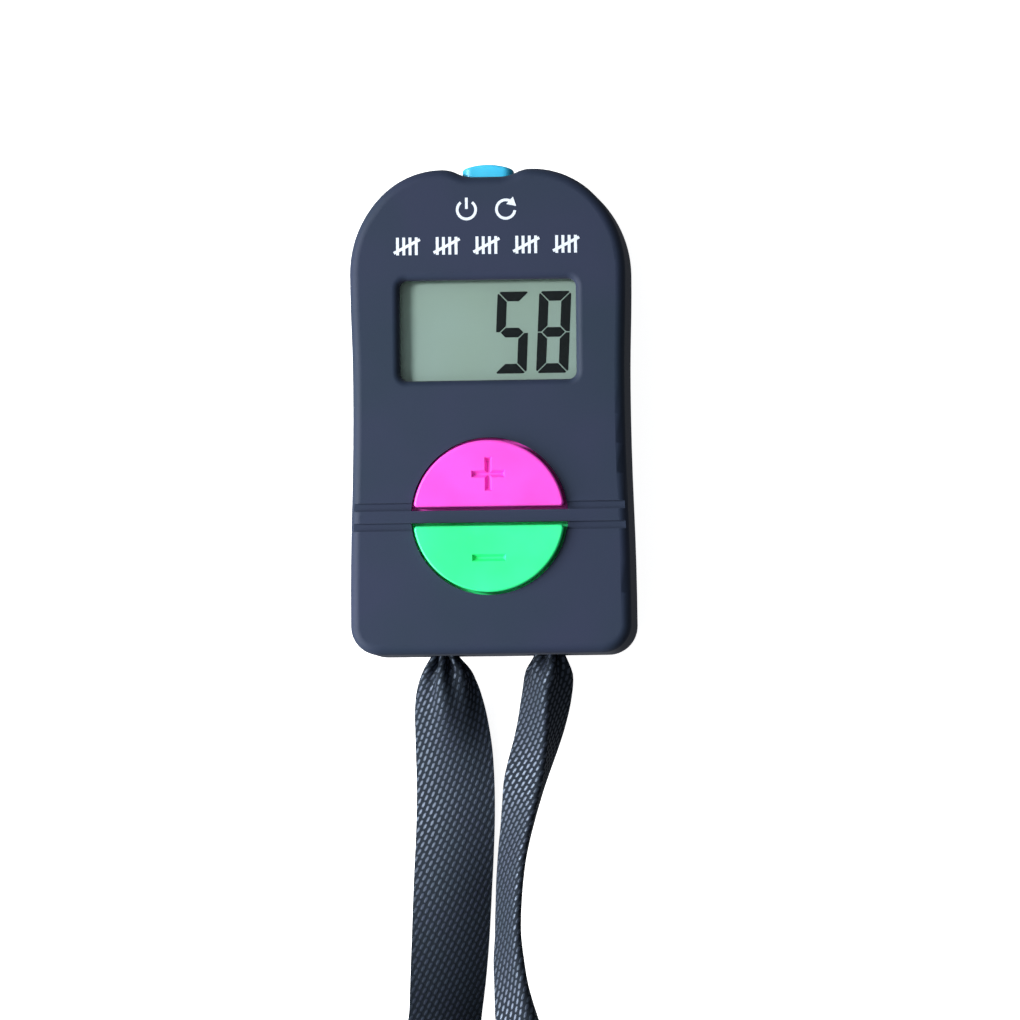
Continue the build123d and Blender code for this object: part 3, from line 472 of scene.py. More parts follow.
@dataclass(frozen=True)
class SatinRibbon:
    """Woven polyester satin: rows of bright slanted floats over gaps darkened with painted shade, with a
    silky highlight.
    """

    weave: Weave
    float_length_mm: float = 0.92
    float_width_mm: float = 0.72
    float_half_length: float = 0.46     # half of what a float fills, as a share of its pitch
    float_half_width: float = 0.34
    lean: float = 0.42          # how far a row of floats moves across the ribbon for each step along it
    selvage_mm: float = 0.45
    width_mm: float = 10.0

    def make(self) -> bpy.types.Material:
        """Builds the material."""
        material, tree = start_material(f"Woven_satin_{self.weave.name.lower()}")
        if self.weave is Weave.ALONG_RIBBON:
            # The ribbon's own map holds millimetres across and along it.
            place = add_node(tree, "UVMap", uv_map=self.weave.value)
        else:
            metres = add_node(tree, "TexCoord").outputs[self.weave.value]
            place = add_node(tree, "VectorMath", {0: metres, "Scale": 1 / MM}, operation="SCALE")
        axes = add_node(tree, "SeparateXYZ", {0: place}).outputs
        floats = self.float_height(tree, axes["X"], axes["Y"])
        # The yarn's tone drifts over about 4 mm.
        slow = add_node(tree, "TexNoise", {"Vector": place, "Scale": 1 / 4.0})
        cloud = add_node(tree, "MapRange", {"Value": slow} | DRIFT_SPAN)
        yarns = {SHARE: cloud, FIRST: linear("#2c3643"), SECOND: linear("#2d3244")}
        yarn = add_node(tree, "Mix", yarns, data_type="RGBA").outputs[MIXED]
        # Painted shade: between the floats the colour goes darker, where the raised floats shade the yarn.
        gap_shade = {SHARE: floats, FIRST: linear("#252b33"), SECOND: yarn}
        woven = add_node(tree, "Mix", gap_shade, data_type="RGBA").outputs[MIXED]
        tones = {SHARE: self.edge_share(tree, axes["X"]), FIRST: woven, SECOND: linear("#262d37")}
        # Only the floats are silky. Between them the yarn is in shade, and that shade is painted into its
        # colour above.
        close_surface(tree, {
            "Base Color": add_node(tree, "Mix", tones, data_type="RGBA").outputs[MIXED],
            "Roughness": add_node(tree, "MapRange", {"Value": floats, "To Min": 0.8, "To Max": 0.42}),
            "Specular IOR Level": add_node(tree, "MapRange", {"Value": floats, "To Min": 0.05}),
            "Specular Tint": linear("#cfe2fb"),
            "Normal": add_node(tree, "Bump", {"Height": floats, "Distance": 0.05 * MM})})
        return material

    def float_height(self, tree: bpy.types.NodeTree, across: bpy.types.NodeSocket,
                     along: bpy.types.NodeSocket) -> bpy.types.Node:
        """Draws the floats as rounded dashes in slanted rows, each row half a float behind the last.

        Args:
            tree: The material's node tree.
            across: Millimetres across the ribbon.
            along: Millimetres along it.

        Returns:
            A node that gives 1 on top of a float and 0 between floats.
        """
        slanted = add_node(tree, "Math", {0: along, 1: -self.lean, 2: across}, operation="MULTIPLY_ADD")
        rows = add_node(tree, "Math", {0: slanted, 1: self.float_width_mm}, operation="DIVIDE")
        row = add_node(tree, "Math", {0: rows}, operation="FLOOR")
        lengths = add_node(tree, "Math", {0: along, 1: self.float_length_mm}, operation="DIVIDE")
        steps = add_node(tree, "Math", {0: row, 1: 0.5, 2: lengths}, operation="MULTIPLY_ADD")
        slopes = {}
        for count, half, power in ((rows, self.float_half_width, 2.0), (steps, self.float_half_length, 3.0)):
            part = add_node(tree, "Math", {0: count}, operation="FRACT")
            offset = add_node(tree, "Math", {0: part, 1: 0.5}, operation="SUBTRACT")
            size = add_node(tree, "Math", {0: offset}, operation="ABSOLUTE")
            share = add_node(tree, "Math", {0: size, 1: half}, operation="DIVIDE")
            slopes[len(slopes)] = add_node(tree, "Math", {0: share, 1: power}, operation="POWER")
        both = add_node(tree, "Math", slopes, operation="ADD")
        return add_node(tree, "MapRange", {"Value": both, "From Min": 1.0, "From Max": 0.25})

    def edge_share(self, tree: bpy.types.NodeTree, across: bpy.types.NodeSocket) -> bpy.types.Node:
        """Finds the woven selvage along both edges.

        Args:
            tree: The material's node tree.
            across: Millimetres across the ribbon, from its left edge.

        Returns:
            A node that gives 0.8 on the selvage and 0 elsewhere.
        """
        half = self.width_mm / 2
        offset = add_node(tree, "Math", {0: across, 1: half}, operation="SUBTRACT")
        size = add_node(tree, "Math", {0: offset}, operation="ABSOLUTE")
        inner = half - self.selvage_mm
        edge = {"Value": size, "From Min": inner, "From Max": inner + 0.1, "To Max": 0.8}
        return add_node(tree, "MapRange", edge)


# ---- Lanyard ----
@dataclass(frozen=True)
class Fold:
    """How the ribbon is turned and folded at one place.

    The angles are in degrees from flat, for the half that starts across the ribbon and the half that
    ends it. The pleat is how steeply its small gathers lean, in radians.
    """

    along: float
    first: float
    second: float
    crease: float = 1.0         # 1 curls evenly, and near 0 is a sharp crease down the middle
    pleat: float = 0.0


@dataclass
class Lanyard:
    """The ribbon loop: one length from the left slot, through a tied hank, to the right slot."""

    width: float = 10.0 * MM
    thickness: float = 0.25 * MM
    steps_across: int = 24
    slot_gathers: float = 1.5   # waves across the half width, where the ribbon is gathered at its slots
    tie_gathers: float = 2.0
    tie_pleat: float = 1.1      # how steeply the tie's gathers lean, in radians
    tie_reach: float = 9.0 * MM
    line_steps: int = 14        # places along the line between two control points
    fold_step: float = 0.25     # mm
    fold_blur: int = 13         # steps over which one fold turns into the next
    lift: float = 0.2 * MM      # what its lowest edge stays above the floor
    lift_reach: int = 6         # places to each side that rise as far as the one that needs it
    lift_blur: int = 21         # places over which a lift fades out
    sharpest: float = 0.05      # crease
    exit_inset: float = 1.6     # mm of ribbon inside the slot

    # Offsets in millimetres from each exit, the same routes as the lanyard's solids.
    left_route = [
        (0.0, 1.6, 5.0), (0.3, -4.4, 4.8), (0.7, -10.4, 2.2), (0.9, -17.5, 0.9),
        (0.6, -27.0, 0.6), (0.1, -38.5, 0.7), (-0.9, -51.5, 1.6),
    ]
    right_route = [
        (0.3, 1.6, 5.0), (-0.1, -4.4, 4.8), (-0.9, -10.6, 3.9), (-2.7, -18.0, 3.9),
        (-4.5, -27.0, 4.4), (-4.9, -38.5, 4.6), (-2.0, -51.5, 4.8),
    ]
    # Half of the hank's runs, in millimetres from the middle of its waist at floor height. The other
    # half mirrors it.
    half_hank = [
        (-11.8, 37.0, 5.2), (-5.5, 7.0, 5.0), (-4.5, -1.0, 4.8), (-6.8, -17.0, 5.1), (-14.3, -47.0, 5.2),
        (-19.8, -69.0, 5.2), (-19.8, -81.0, 5.2), (-13.3, -86.5, 5.2), (-6.8, -81.0, 5.2),
        (-6.8, -69.0, 5.2), (-4.8, -40.0, 5.2), (-2.3, -15.0, 5.0), (-1.5, 0.0, 4.8), (-2.8, 20.0, 5.1),
        (-6.3, 47.0, 5.2), (-7.8, 61.0, 5.2), (-5.8, 70.0, 5.2),
    ]
    hank_start = [(-10.3, 72.0, 3.6), (-14.8, 59.0, 4.8)]
    hank_middle = [(0.0, 74.5, 5.2)]
    hank_end = [(14.8, 59.0, 5.0), (11.2, 72.0, 4.8)]
    # Left strand, by millimetres from its exit. It lies flat, then rises on edge into the hank.
    left_folds = [
        Fold(0.0, 20, -20, 1.0, 1.95), Fold(1.5, 34, -40, 0.6, 1.35), Fold(3.0, 40, -48, 0.5, 0.75),
        Fold(5.0, 36, -44, 0.5, 0.35), Fold(7.5, 30, -36, 0.5, 0.12), Fold(10.0, 26, -28, 0.6),
        Fold(13.0, 22, -14, 0.8), Fold(17.0, 18, -8), Fold(21.0, 16, -12), Fold(25.0, 14, -18),
        Fold(29.0, 8, -26), Fold(33.0, 0, -28), Fold(37.0, -8, -30), Fold(41.0, -14, -34),
        Fold(45.5, -20, -42), Fold(52.0, -5, -22), Fold(60.0, 30, 14), Fold(70.0, 60, 48),
        Fold(82.0, 82, 76), Fold(96.0, 90, 90),
    ]
    # Right strand, by millimetres from its exit. A crease runs down it, and its right half hangs.
    right_folds = [
        Fold(0.0, 44, -36, 0.6, 2.1), Fold(2.0, 58, -48, 0.3, 1.4), Fold(4.0, 56, -54, 0.2, 0.4),
        Fold(6.0, 54, -56, 0.15), Fold(8.0, 49, -60, 0.12), Fold(10.5, 44, -68, 0.12),
        Fold(13.0, 37, -77, 0.12), Fold(15.5, 28, -85, 0.12), Fold(18.0, 24, -90, 0.12),
        Fold(21.0, 36, -92, 0.12), Fold(24.0, 45, -93, 0.12), Fold(28.0, 51, -95, 0.15),
        Fold(33.0, 55, -95, 0.15), Fold(37.0, 55, -95, 0.15), Fold(40.5, 47, -95, 0.2),
        Fold(43.0, 42, -95, 0.2), Fold(45.5, 33, -94, 0.25), Fold(50.0, 12, -92, 0.4),
        Fold(58.0, -30, -91, 0.6), Fold(68.0, -65, -90), Fold(80.0, -90, -90),
    ]

    def __post_init__(self) -> None:
        """Reads the two exits and the hank's waist from the frame."""
        case_low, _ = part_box("rear_case")
        knots = [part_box(f"lanyard_knot_{side}") for side in ("left", "right")]
        self.exits = [Vector(((low.x + high.x) / 2, case_low.y, 5 * MM)) for low, high in knots]
        tie_low, tie_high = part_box("hank_tie")
        self.waist = Vector(((tie_low.x + tie_high.x) / 2, (tie_low.y + tie_high.y) / 2, 0))

    def route_points(self) -> list[Vector]:
        """Gives the whole route's control points, from the left exit to the right one."""
        left, right = ([Vector((e.x + x * MM, e.y + y * MM, z * MM)) for x, y, z in route]
                       for e, route in zip(self.exits, (self.left_route, self.right_route)))
        mirrored = [(-x, y, z) for x, y, z in reversed(self.half_hank)]
        runs = self.hank_start + self.half_hank + self.hank_middle + mirrored + self.hank_end
        return left + [self.waist + Vector(p) * MM for p in runs] + right[::-1]

    def centreline(self) -> np.ndarray:
        """Reads the smooth line that the route's points control.

        Returns:
            Points along it, in metres.
        """
        data = bpy.data.curves.new("lanyard_route", "CURVE")
        data.dimensions = "3D"
        data.resolution_u = self.line_steps
        line = data.splines.new("NURBS")
        route = self.route_points()
        line.points.add(len(route) - 1)
        for control, place in zip(line.points, route):
            control.co = (*place, 1.0)
        line.order_u = 3
        line.use_endpoint_u = True
        holder = bpy.data.objects.new("lanyard_route", data)
        bpy.context.scene.collection.objects.link(holder)
        bpy.context.view_layer.update()
        mesh = bpy.data.meshes.new_from_object(holder)
        points = np.array([v.co[:] for v in mesh.vertices])
        bpy.data.objects.remove(holder)
        bpy.data.meshes.remove(mesh)
        kept = np.concatenate([[True], np.linalg.norm(np.diff(points, axis=0), axis=1) > 1e-7])
        return points[kept]

    def folds_along(self, along: np.ndarray) -> np.ndarray:
        """Works out the fold at each point.

        Args:
            along: Millimetres from the left exit.

        Returns:
            Columns of first angle, second angle, crease and pleat.
        """
        end = along[-1]
        # The left strand's angles are written as seen from above, and its section runs the other way.
        keys = [Fold(f.along, -f.second, -f.first, f.crease, f.pleat) for f in self.left_folds]
        keys += [Fold(end - f.along, f.first, f.second, f.crease, f.pleat) for f in self.right_folds[::-1]]
        at = [k.along for k in keys]
        table = [[k.first, k.second, k.crease, k.pleat] for k in keys]
        fine = np.arange(0, end, self.fold_step)
        columns = [np.interp(fine, at, column) for column in zip(*table)]
        return np.stack([np.interp(along, fine, self.blur(c, self.fold_blur)) for c in columns], axis=1)

    @staticmethod
    def blur(values: np.ndarray, width: int) -> np.ndarray:
        """Smooths a row of values over an odd number of its places."""
        weights = np.hanning(width) / np.hanning(width).sum()
        return np.convolve(np.pad(values, width // 2, mode="edge"), weights, mode="valid")

    def sections(self, line: np.ndarray) -> tuple[np.ndarray, np.ndarray]:
        """Lays the ribbon's cross-section along its line.

        Args:
            line: Points along the middle of the ribbon.

        Returns:
            The sheet's points, by place along and across, and millimetres along at each place.
        """
        steps = np.linalg.norm(np.diff(line, axis=0), axis=1)
        along = np.concatenate([[0], np.cumsum(steps)]) / MM
        tangent = np.gradient(line, along, axis=0)
        tangent /= np.linalg.norm(tangent, axis=1)[:, None]
        side = np.cross(tangent, (0, 0, 1))
        side /= np.linalg.norm(side, axis=1)[:, None]
        rise = np.cross(side, tangent)
        folds = self.folds_along(along - self.exit_inset)
        # The tie squeezes the runs that stand on edge, so they gather there.
        squeeze = self.tie_pleat * np.exp(-((line[:, 1] - self.waist.y) / self.tie_reach) ** 2)
        across = np.linspace(-1, 1, self.steps_across * 2 + 1)
        middle = (across[1:] + across[:-1]) / 2
        crease = np.maximum(folds[:, 2:3], self.sharpest)
        turn = np.clip(middle[None, :] / crease, -1, 1)
        share = 0.5 + 0.5 * np.sin(turn * math.pi / 2)
        lean = np.radians(folds[:, 0:1] * (1 - share) + folds[:, 1:2] * share)
        for depth, gathers in ((folds[:, 3], self.slot_gathers), (squeeze, self.tie_gathers)):
            lean += np.outer(depth, np.cos(math.tau * gathers * middle))
        step = self.width / (self.steps_across * 2)
        x = np.pad(np.cumsum(np.cos(lean) * step, axis=1), ((0, 0), (1, 0)))
        y = np.pad(np.cumsum(np.sin(lean) * step, axis=1), ((0, 0), (1, 0)))
        x -= x.mean(axis=1, keepdims=True)
        y -= y.mean(axis=1, keepdims=True)
        sheet = line[:, None, :] + x[:, :, None] * side[:, None, :] + y[:, :, None] * rise[:, None, :]
        low = np.maximum(0, self.lift - sheet[:, :, 2].min(axis=1))
        reach = range(-self.lift_reach, self.lift_reach + 1)
        wide = np.max([np.roll(low, k) for k in reach], axis=0)
        sheet[:, :, 2] += np.maximum(self.blur(wide, self.lift_blur), low)[:, None]
        return sheet, along

    def build(self) -> bpy.types.Object:
        line = self.centreline()
        sheet, along = self.sections(line)
        rows, columns = sheet.shape[:2]
        number = np.arange(rows * columns).reshape(rows, columns)
        corners = [number[:-1, :-1], number[:-1, 1:], number[1:, 1:], number[1:, :-1]]
        faces = np.stack(corners, axis=-1).reshape(-1, 4)
        mesh = bpy.data.meshes.new("lanyard_ribbon")
        mesh.from_pydata(sheet.reshape(-1, 3).tolist(), [], faces.tolist())
        across = np.linspace(0, self.width / MM, columns)
        places = np.stack([np.tile(across, rows), np.repeat(along, columns)], axis=1)
        uv = mesh.uv_layers.new(name=Weave.ALONG_RIBBON.value)
        uv.data.foreach_set("uv", places[faces.reshape(-1)].reshape(-1))
        ribbon = bpy.data.objects.new("lanyard_ribbon", mesh)
        bpy.context.scene.collection.objects.link(ribbon)
        mesh.materials.append(SatinRibbon(Weave.ALONG_RIBBON).make())
        only(ribbon)
        wall = ribbon.modifiers.new("wall", "SOLIDIFY")
        wall.thickness = self.thickness
        wall.offset = 0
        bpy.ops.object.modifier_apply(modifier=wall.name)
        bpy.ops.object.shade_smooth_by_angle(angle=math.radians(50))
        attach(ribbon, "case")
        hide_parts("lanyard_strand_left", "lanyard_strand_right", "lanyard_hank")
        log.info("lanyard_ribbon: %.0f mm long, %d faces", along[-1], len(mesh.polygons))
        return ribbon

    def dress(self) -> None:
        """Finishes the knots and the tie."""
        dress(SatinRibbon(Weave.IN_PLACE).make(), "lanyard_knot_left", "lanyard_knot_right")
        dress(Finish.TIE_RUBBER.make(), "hank_tie")


# ---- Case ----
@dataclass
class FacePrint:
    """White marks on the face: on-off and reset symbols over a row of tally marks."""

    ink: float = 0.03 * MM
    symbol_radius: float = 1.15 * MM
    symbol_stroke: float = 0.34 * MM
    symbol_spacing: float = 4.9 * MM
    symbols_above_tape: float = 7.3 * MM
    power_ring: Pair = (128, 284)       # where it starts and how far it goes, in degrees from +X
    power_stroke: Pair = (0.1 * MM, 1.5 * MM)   # its ends, above the ring's centre
    reset_ring: Pair = (60, 292)
    arrow_at: float = 48                # degrees round the reset symbol's ring
    arrow_radius: float = 0.72 * MM
    arc_steps: int = 40
    tally_above_tape: float = 2.85 * MM
    tally_height: float = 2.2 * MM
    tally_stroke: float = 0.36 * MM
    tally_pitch: float = 0.78 * MM
    tally_groups: int = 5
    tally_width: float = 22.2 * MM
    slash_half: float = 2.352           # half a slash's length, in stroke pitches
    slash_tilt: float = 27              # degrees

    def __post_init__(self) -> None:
        """Reads the face's height, and the top of the tape round the window, from the frame."""
        _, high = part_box("front_case")
        _, tape_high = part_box("window_tape")
        self.face = high.z
        self.tape_top = tape_high.y

    def arc(self, centre: Pair, start: float, sweep: float) -> bpy.types.Object:
        """Spins a short line round a centre into a flat arc.

        Args:
            centre: X and Y of the arc's centre.
            start: Where it starts, in degrees from +X.
            sweep: How far it goes, in degrees.

        Returns:
            The flat arc.
        """
        inner = self.symbol_radius - self.symbol_stroke / 2
        outer = self.symbol_radius + self.symbol_stroke / 2
        bar = flat_bar((inner, outer), (0, self.symbol_stroke / 4), self.face)
        bar.data.transform(Matrix.Translation((*centre, 0)) @ Matrix.Rotation(math.radians(start), 4, "Z"))
        middle = (*centre, self.face)
        only(bar)
        bpy.ops.object.mode_set(mode="EDIT")
        bpy.ops.mesh.select_all(action="SELECT")
        bpy.ops.mesh.delete(type="ONLY_FACE")
        bpy.ops.object.mode_set(mode="OBJECT")
        heading = Vector((-math.sin(math.radians(start)), math.cos(math.radians(start)), 0))
        ahead = [(v.co - Vector(middle)).dot(heading) > self.symbol_stroke / 8 for v in bar.data.vertices]
        for vertex, far in zip(bar.data.vertices, ahead):
            vertex.select = far
        only(bar)
        bpy.ops.object.mode_set(mode="EDIT")
        bpy.ops.mesh.delete(type="VERT")
        bpy.ops.mesh.select_all(action="SELECT")
        bpy.ops.mesh.spin(steps=self.arc_steps, angle=-math.radians(sweep), center=middle, axis=(0, 0, 1))
        bpy.ops.object.mode_set(mode="OBJECT")
        return bar

    def power_symbol(self, centre: Pair) -> list[bpy.types.Object]:
        """Makes the on-off symbol: an open ring and a stroke."""
        x, y = centre
        half = self.symbol_stroke / 2
        low, high = self.power_stroke
        stroke = flat_bar((x - half, x + half), (y + low, y + high), self.face)
        return [self.arc(centre, *self.power_ring), stroke]

    def reset_symbol(self, centre: Pair) -> list[bpy.types.Object]:
        """Makes the reset symbol: a ring that ends in an arrowhead."""
        x, y = centre
        bpy.ops.object.select_all(action="DESELECT")
        bpy.ops.mesh.primitive_circle_add(vertices=3, radius=self.arrow_radius, fill_type="NGON")
        head = bpy.context.object
        turn = math.radians(self.arrow_at)
        place = Vector((x + self.symbol_radius * math.cos(turn), y + self.symbol_radius * math.sin(turn),
                        self.face + self.ink / 4))
        head.data.transform(Matrix.Translation(place) @ Matrix.Rotation(turn - math.pi, 4, "Z"))
        return [self.arc(centre, *self.reset_ring), head]

    def tally_row(self) -> list[bpy.types.Object]:
        """Makes groups of four upright strokes, each crossed by a fifth."""
        strokes = []
        low = self.tape_top + self.tally_above_tape - self.tally_height / 2
        span = (low, low + self.tally_height)
        gap = (self.tally_width - 3 * self.tally_pitch) / (self.tally_groups - 1)
        half = self.tally_stroke / 2
        reach = self.slash_half * self.tally_pitch
        for group in range(self.tally_groups):
            start = -self.tally_width / 2 + group * gap
            for stroke in range(4):
                x = start + stroke * self.tally_pitch
                strokes.append(flat_bar((x - half, x + half), span, self.face))
            middle = start + 1.5 * self.tally_pitch
            slash = flat_bar((-reach, reach), (-half, half), 0)
            place = Matrix.Translation((middle, (span[0] + span[1]) / 2, self.face + self.ink / 4))
            slash.data.transform(place @ Matrix.Rotation(math.radians(self.slash_tilt), 4, "Z"))
            strokes.append(slash)
        return strokes

    def build(self) -> None:
        """Makes all the marks in one printed piece."""
        y = self.tape_top + self.symbols_above_tape
        x = self.symbol_spacing / 2
        marks = self.power_symbol((-x, y)) + self.reset_symbol((x, y)) + self.tally_row()
        for mark in marks:
            thicken_up(mark, self.ink)
        piece = join_as("face_print", marks, PrintInk().make())
        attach(piece, "case")
        log.info("face_print: %d faces", len(piece.data.polygons))


class Case:
    """The lacquered shells with their window, screws and battery cover."""

    def dress(self) -> None:
        """Finishes the shells and what is fastened to them."""
        dress(Finish.SOFT_TOUCH.make(), "front_case", "rear_case", "battery_cover")
        dress(Finish.SCREW.make(), "case_screws", "battery_cover_screw")
        dress(ClearPane().make(), "display_window")
        dress(Finish.TAPE.make(), "window_tape")


# ---- Display ----
@dataclass
class Display:
    """The liquid crystal display, showing a count of two digits."""

    count: str = "58"
    digit_height: float = 10.2 * MM
    digit_width: float = 4.0 * MM
    digit_pitch: float = 5.2 * MM
    bar: float = 1.2 * MM
    gap: float = 0.14 * MM
    tip: float = 0.4            # share of a bar's width between the digit's side and the middle bar's point
    corner: float = 0.36 * MM   # cut off the digits' outer corners
    lean: float = 0.05          # how far the digits lean, across for each step up
    right_margin: float = 0.93 * MM
    lowered: float = 0.28 * MM  # the digits' middle below the window's
    thickness: float = 0.03 * MM
    above_film: float = 0.01 * MM
    half_window: float = 11.0 * MM

    # The bars of each figure: top 1, bottom -1 and middle 0, then the upright ones by side and level.
    figures = {
        "5": ((1, -1, 0), ((-1, 1), (1, -1))),
        "8": ((1, -1, 0), ((-1, 1), (1, 1), (-1, -1), (1, -1))),
    }

    def __post_init__(self) -> None:
        """Reads the film and the window from the frame."""
        low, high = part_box("lcd_front_polariser")
        tape_low, tape_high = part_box("window_tape")
        self.film = high.z
        self.middle_x = (low.x + high.x) / 2
        self.middle_y = (tape_low.y + tape_high.y) / 2
        self.half_gap = self.gap / 2
        self.blunt = self.corner / math.sqrt(2)

    def upright(self, side: int, level: int) -> bpy.types.Object:
        """Makes one of the four upright bars, in the digit's own place.

        Args:
            side: -1 for left and 1 for right.
            level: -1 for lower and 1 for upper.

        Returns:
            The flat bar with mitred ends.
        """
        half_w, half_h = self.digit_width / 2, self.digit_height / 2
        bar = flat_bar(tuple(sorted((side * (half_w - self.bar), side * half_w))),
                       tuple(sorted((level * self.half_gap, level * half_h))), 0)
        outer = (side * half_w, level * half_h)
        inner = (side * (half_w - self.bar * self.tip), 0)
        cut_away(bar, [self.diagonal(outer, (-side, level), self.half_gap),
                       self.diagonal(inner, (-side, -level), self.half_gap),
                       self.diagonal(outer, (side, level), self.blunt)])
        return bar

    def level_bar(self, level: int) -> bpy.types.Object:
        """Makes the top bar for 1 or the bottom bar for -1."""
        half_w, half_h = self.digit_width / 2, self.digit_height / 2
        bar = flat_bar((-half_w, half_w), tuple(sorted((level * (half_h - self.bar), level * half_h))), 0)
        for side in (-1, 1):
            outer = (side * half_w, level * half_h)
            cut_away(bar, [self.diagonal(outer, (side, -level), self.half_gap),
                           self.diagonal(outer, (side, level), self.blunt)])
        return bar

    def middle_bar(self) -> bpy.types.Object:
        """Makes the middle bar, pointed at both ends."""
        reach = self.digit_width / 2 - self.bar * self.tip
        bar = flat_bar((-reach, reach), (-self.bar / 2, self.bar / 2), 0)
        cut_away(bar, [self.diagonal((side * reach, 0), (side, level), self.half_gap)
                       for side in (-1, 1) for level in (-1, 1)])
        return bar

    @staticmethod
    def diagonal(point: Pair, beyond: tuple[int, int], back: float) -> tuple[Point, Point]:
        """Places a 45 degree cut.

        Args:
            point: A corner of the digit, or where two of its bars would meet.
            beyond: The diagonal direction that is cut away.
            back: How far back from the point the cut lies.

        Returns:
            A point on the cut's plane, and its direction.
        """
        away = Vector((*beyond, 0)).normalized()
        return tuple(Vector((*point, 0)) - away * back), tuple(away)

    def build(self) -> None:
        """Makes the lit segments of the count, just over the film."""
        bars = []
        shear = Matrix.Identity(4)
        shear[0][1] = self.lean
        first = self.middle_x + self.half_window - self.right_margin - self.digit_width / 2
        for place, figure in enumerate(reversed(self.count)):
            levels, uprights = self.figures[figure]
            made = [self.level_bar(level) if level else self.middle_bar() for level in levels]
            made += [self.upright(*u) for u in uprights]
            place_x = first - place * self.digit_pitch
            middle = (place_x, self.middle_y - self.lowered, self.film + self.above_film)
            move = Matrix.Translation(middle)
            for bar in made:
                bar.data.transform(move @ shear)
            bars += made
        for bar in bars:
            thicken_up(bar, self.thickness)
        piece = join_as("lcd_segments", bars, Finish.SEGMENT.make())
        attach(piece, "case")
        log.info("lcd_segments: %d faces", len(piece.data.polygons))

    def dress(self) -> None:
        """Finishes the display's layers and what holds them."""
        dress(DisplayFilm().make(), "lcd_front_polariser")
        dress(Finish.GLASS.make(), "lcd_front_glass", "lcd_rear_glass")
        dress(Finish.REFLECTOR.make(), "lcd_reflector")
        dress(Finish.HOLDER.make(), "lcd_holder")
        dress(ZebraRubber().make(), "zebra_strip")


# ---- Works ----
class Works:
    """The circuit board with its parts, and the battery with its contacts."""

    def dress(self) -> None:
        """Finishes the board, its parts and the battery."""
        dress(MaskedBoard().make(), "circuit_board")
        dress(Finish.RESIN.make(), "chip_blob")
        dress(Finish.CERAMIC.make(), "chip_capacitors")
        dress(Finish.SCREW.make(), "board_screws")
        dress(Finish.CELL.make(), "battery_cell")
        dress(Finish.CONTACT.make(), "battery_positive_contact", "battery_negative_contact")


class Button(Enum):
    """The three buttons, by name and by the colour of their plastic."""

    PLUS = ("plus", Finish.PINK)
    MINUS = ("minus", Finish.GREEN)
    RESET = ("reset", Finish.BLUE)

    def dress(self) -> None:
        """Finishes the button and the switch behind it."""
        name, finish = self.value
        dress(finish.make(), f"{name}_button")
        dress(Finish.SWITCH_BLACK.make(), f"{name}_switch_base", f"{name}_switch_plunger")
        dress(Finish.SWITCH_METAL.make(), f"{name}_switch_cover", f"{name}_switch_dome")


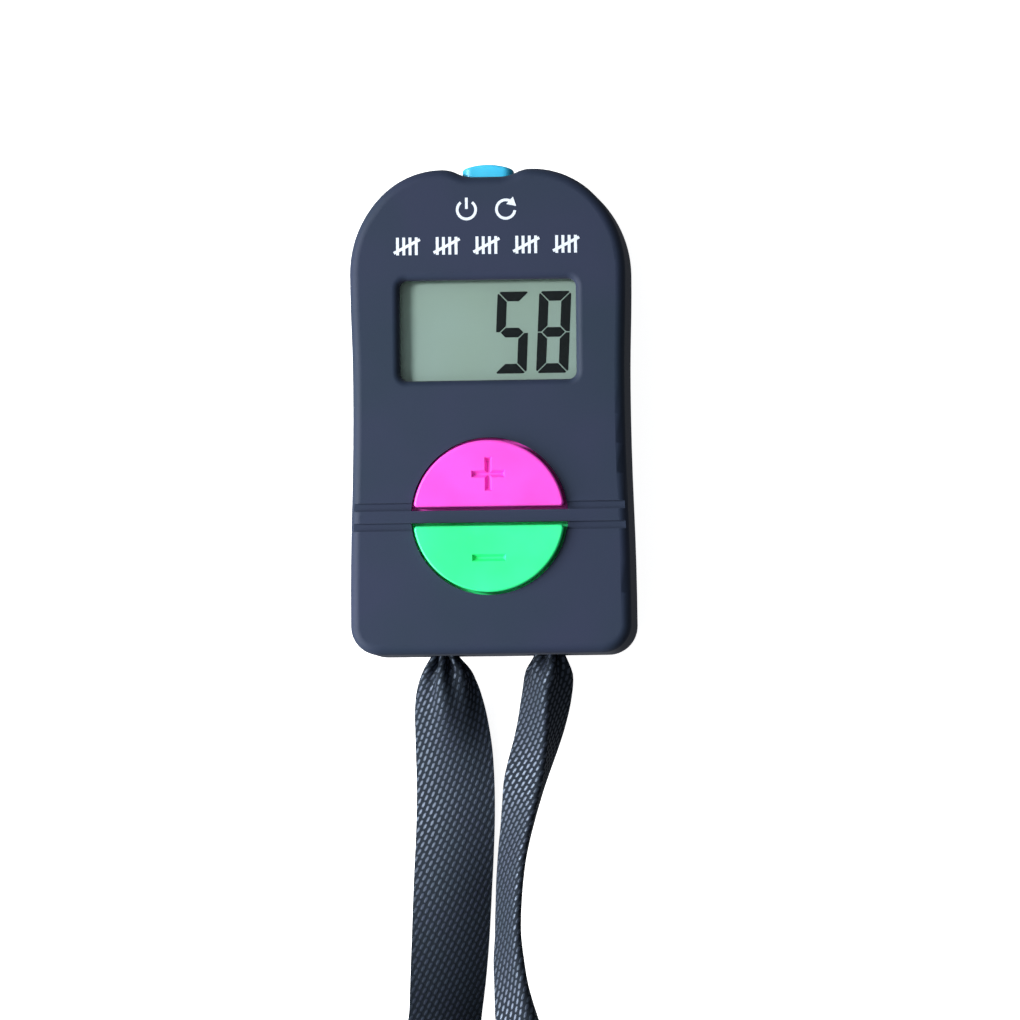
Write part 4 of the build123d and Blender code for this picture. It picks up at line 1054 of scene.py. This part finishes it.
# ---- Studio ----
@dataclass
class Studio:
    """A pale floor, soft daylight from the left and the camera."""

    view_width: float = 0.1273  # what the camera takes in at the object
    distance: float = 1.2
    sensor: float = 36.0
    aim: Point = (2.04 * MM, -12.4 * MM, 6.0 * MM)
    from_right: float = 4.8     # degrees
    from_below: float = 2.5
    roll: float = 0.6
    floor_size: float = 6.0
    room_glow: Pair = (0.17, 0.9)   # away from the left, and at the left

    def camera(self) -> None:
        """Sets the camera above the face, a little to its right."""
        right, below, roll = (math.radians(a) for a in (self.from_right, self.from_below, self.roll))
        back = Vector((math.sin(right), -math.sin(below), math.cos(right) * math.cos(below))).normalized()
        up = Vector((math.sin(roll), math.cos(roll), 0))
        across = up.cross(back).normalized()
        upright = back.cross(across)
        turn = Matrix((across, upright, back)).transposed().to_4x4()
        bpy.ops.object.camera_add()
        camera = bpy.context.object
        camera.matrix_world = Matrix.Translation(Vector(self.aim) + back * self.distance) @ turn
        camera.data.sensor_width = self.sensor
        camera.data.lens = self.sensor * self.distance / self.view_width
        camera.data.clip_start = 0.01
        bpy.context.scene.camera = camera

    def floor(self) -> None:
        """Lays a pale, faintly mottled floor just under the object."""
        low, _ = cad_box
        bpy.ops.object.select_all(action="DESELECT")
        bpy.ops.mesh.primitive_plane_add(size=self.floor_size, location=(0, 0, low.z))
        floor = bpy.context.object
        floor.name = "studio_floor"
        fix_place(floor)
        floor.data.materials.append(Finish.PAPER.make())
        # Its glow would light the object's edges from below.
        floor.visible_diffuse = floor.visible_glossy = False

    def lamp(self, name: str, towards: Point, reach: float, size: Pair, power: float) -> None:
        """Adds a soft lamp that points at the object.

        Args:
            name: The lamp's name.
            towards: Its direction from the object.
            reach: Its distance.
            size: The sides of its rectangle, across and along Y.
            power: Watts.
        """
        bpy.ops.object.light_add(type="AREA")
        lamp = bpy.context.object
        lamp.name = name
        direction = Vector(towards).normalized()
        lamp.location = Vector(self.aim) + direction * reach
        lamp.rotation_mode = "QUATERNION"
        lamp.rotation_quaternion = direction.to_track_quat("Z", "Y")
        lamp.data.shape = "RECTANGLE"
        lamp.data.size, lamp.data.size_y = size
        lamp.data.energy = power

    def light(self) -> None:
        """Lights the object from the upper left, with a dim room around it."""
        world = bpy.data.worlds.new("studio_room")
        bpy.context.scene.world = world
        world.use_nodes = True
        tree = world.node_tree
        room = tree.nodes["Background"]
        room.inputs["Color"].default_value = linear("#f4f7fb")
        # The room is bright to the left, and dim overhead and to the right.
        heading = add_node(tree, "TexCoord").outputs["Generated"]
        dot = add_node(tree, "VectorMath", {0: heading, 1: (-1.0, 0.0, 0.0)}, operation="DOT_PRODUCT")
        low, high = self.room_glow
        glow = add_node(tree, "MapRange", {"Value": dot.outputs["Value"], "To Min": low, "To Max": high})
        tree.links.new(glow.outputs[0], room.inputs["Strength"])
        self.lamp("window_light", (-1.2, 0.32, 1.0), 0.9, (0.13, 0.6), 9.6)
        self.lamp("low_fill", (-1.0, -0.45, 0.5), 0.2, (0.12, 0.12), 0.42)
        view = bpy.context.scene.view_settings
        view.view_transform = "Standard"
        view.look = "None"

    def build(self) -> None:
        """Sets up the camera, the floor and the lights."""
        self.camera()
        self.floor()
        self.light()


def main() -> None:
    """Builds the counter piece by piece."""
    logging.basicConfig(level=logging.INFO, format="%(message)s")
    Studio().build()
    lanyard = Lanyard()
    lanyard.build()
    lanyard.dress()
    Case().dress()
    FacePrint().build()
    display = Display()
    display.build()
    display.dress()
    Works().dress()
    for button in Button:
        button.dress()


if __name__ == "__main__":
    main()
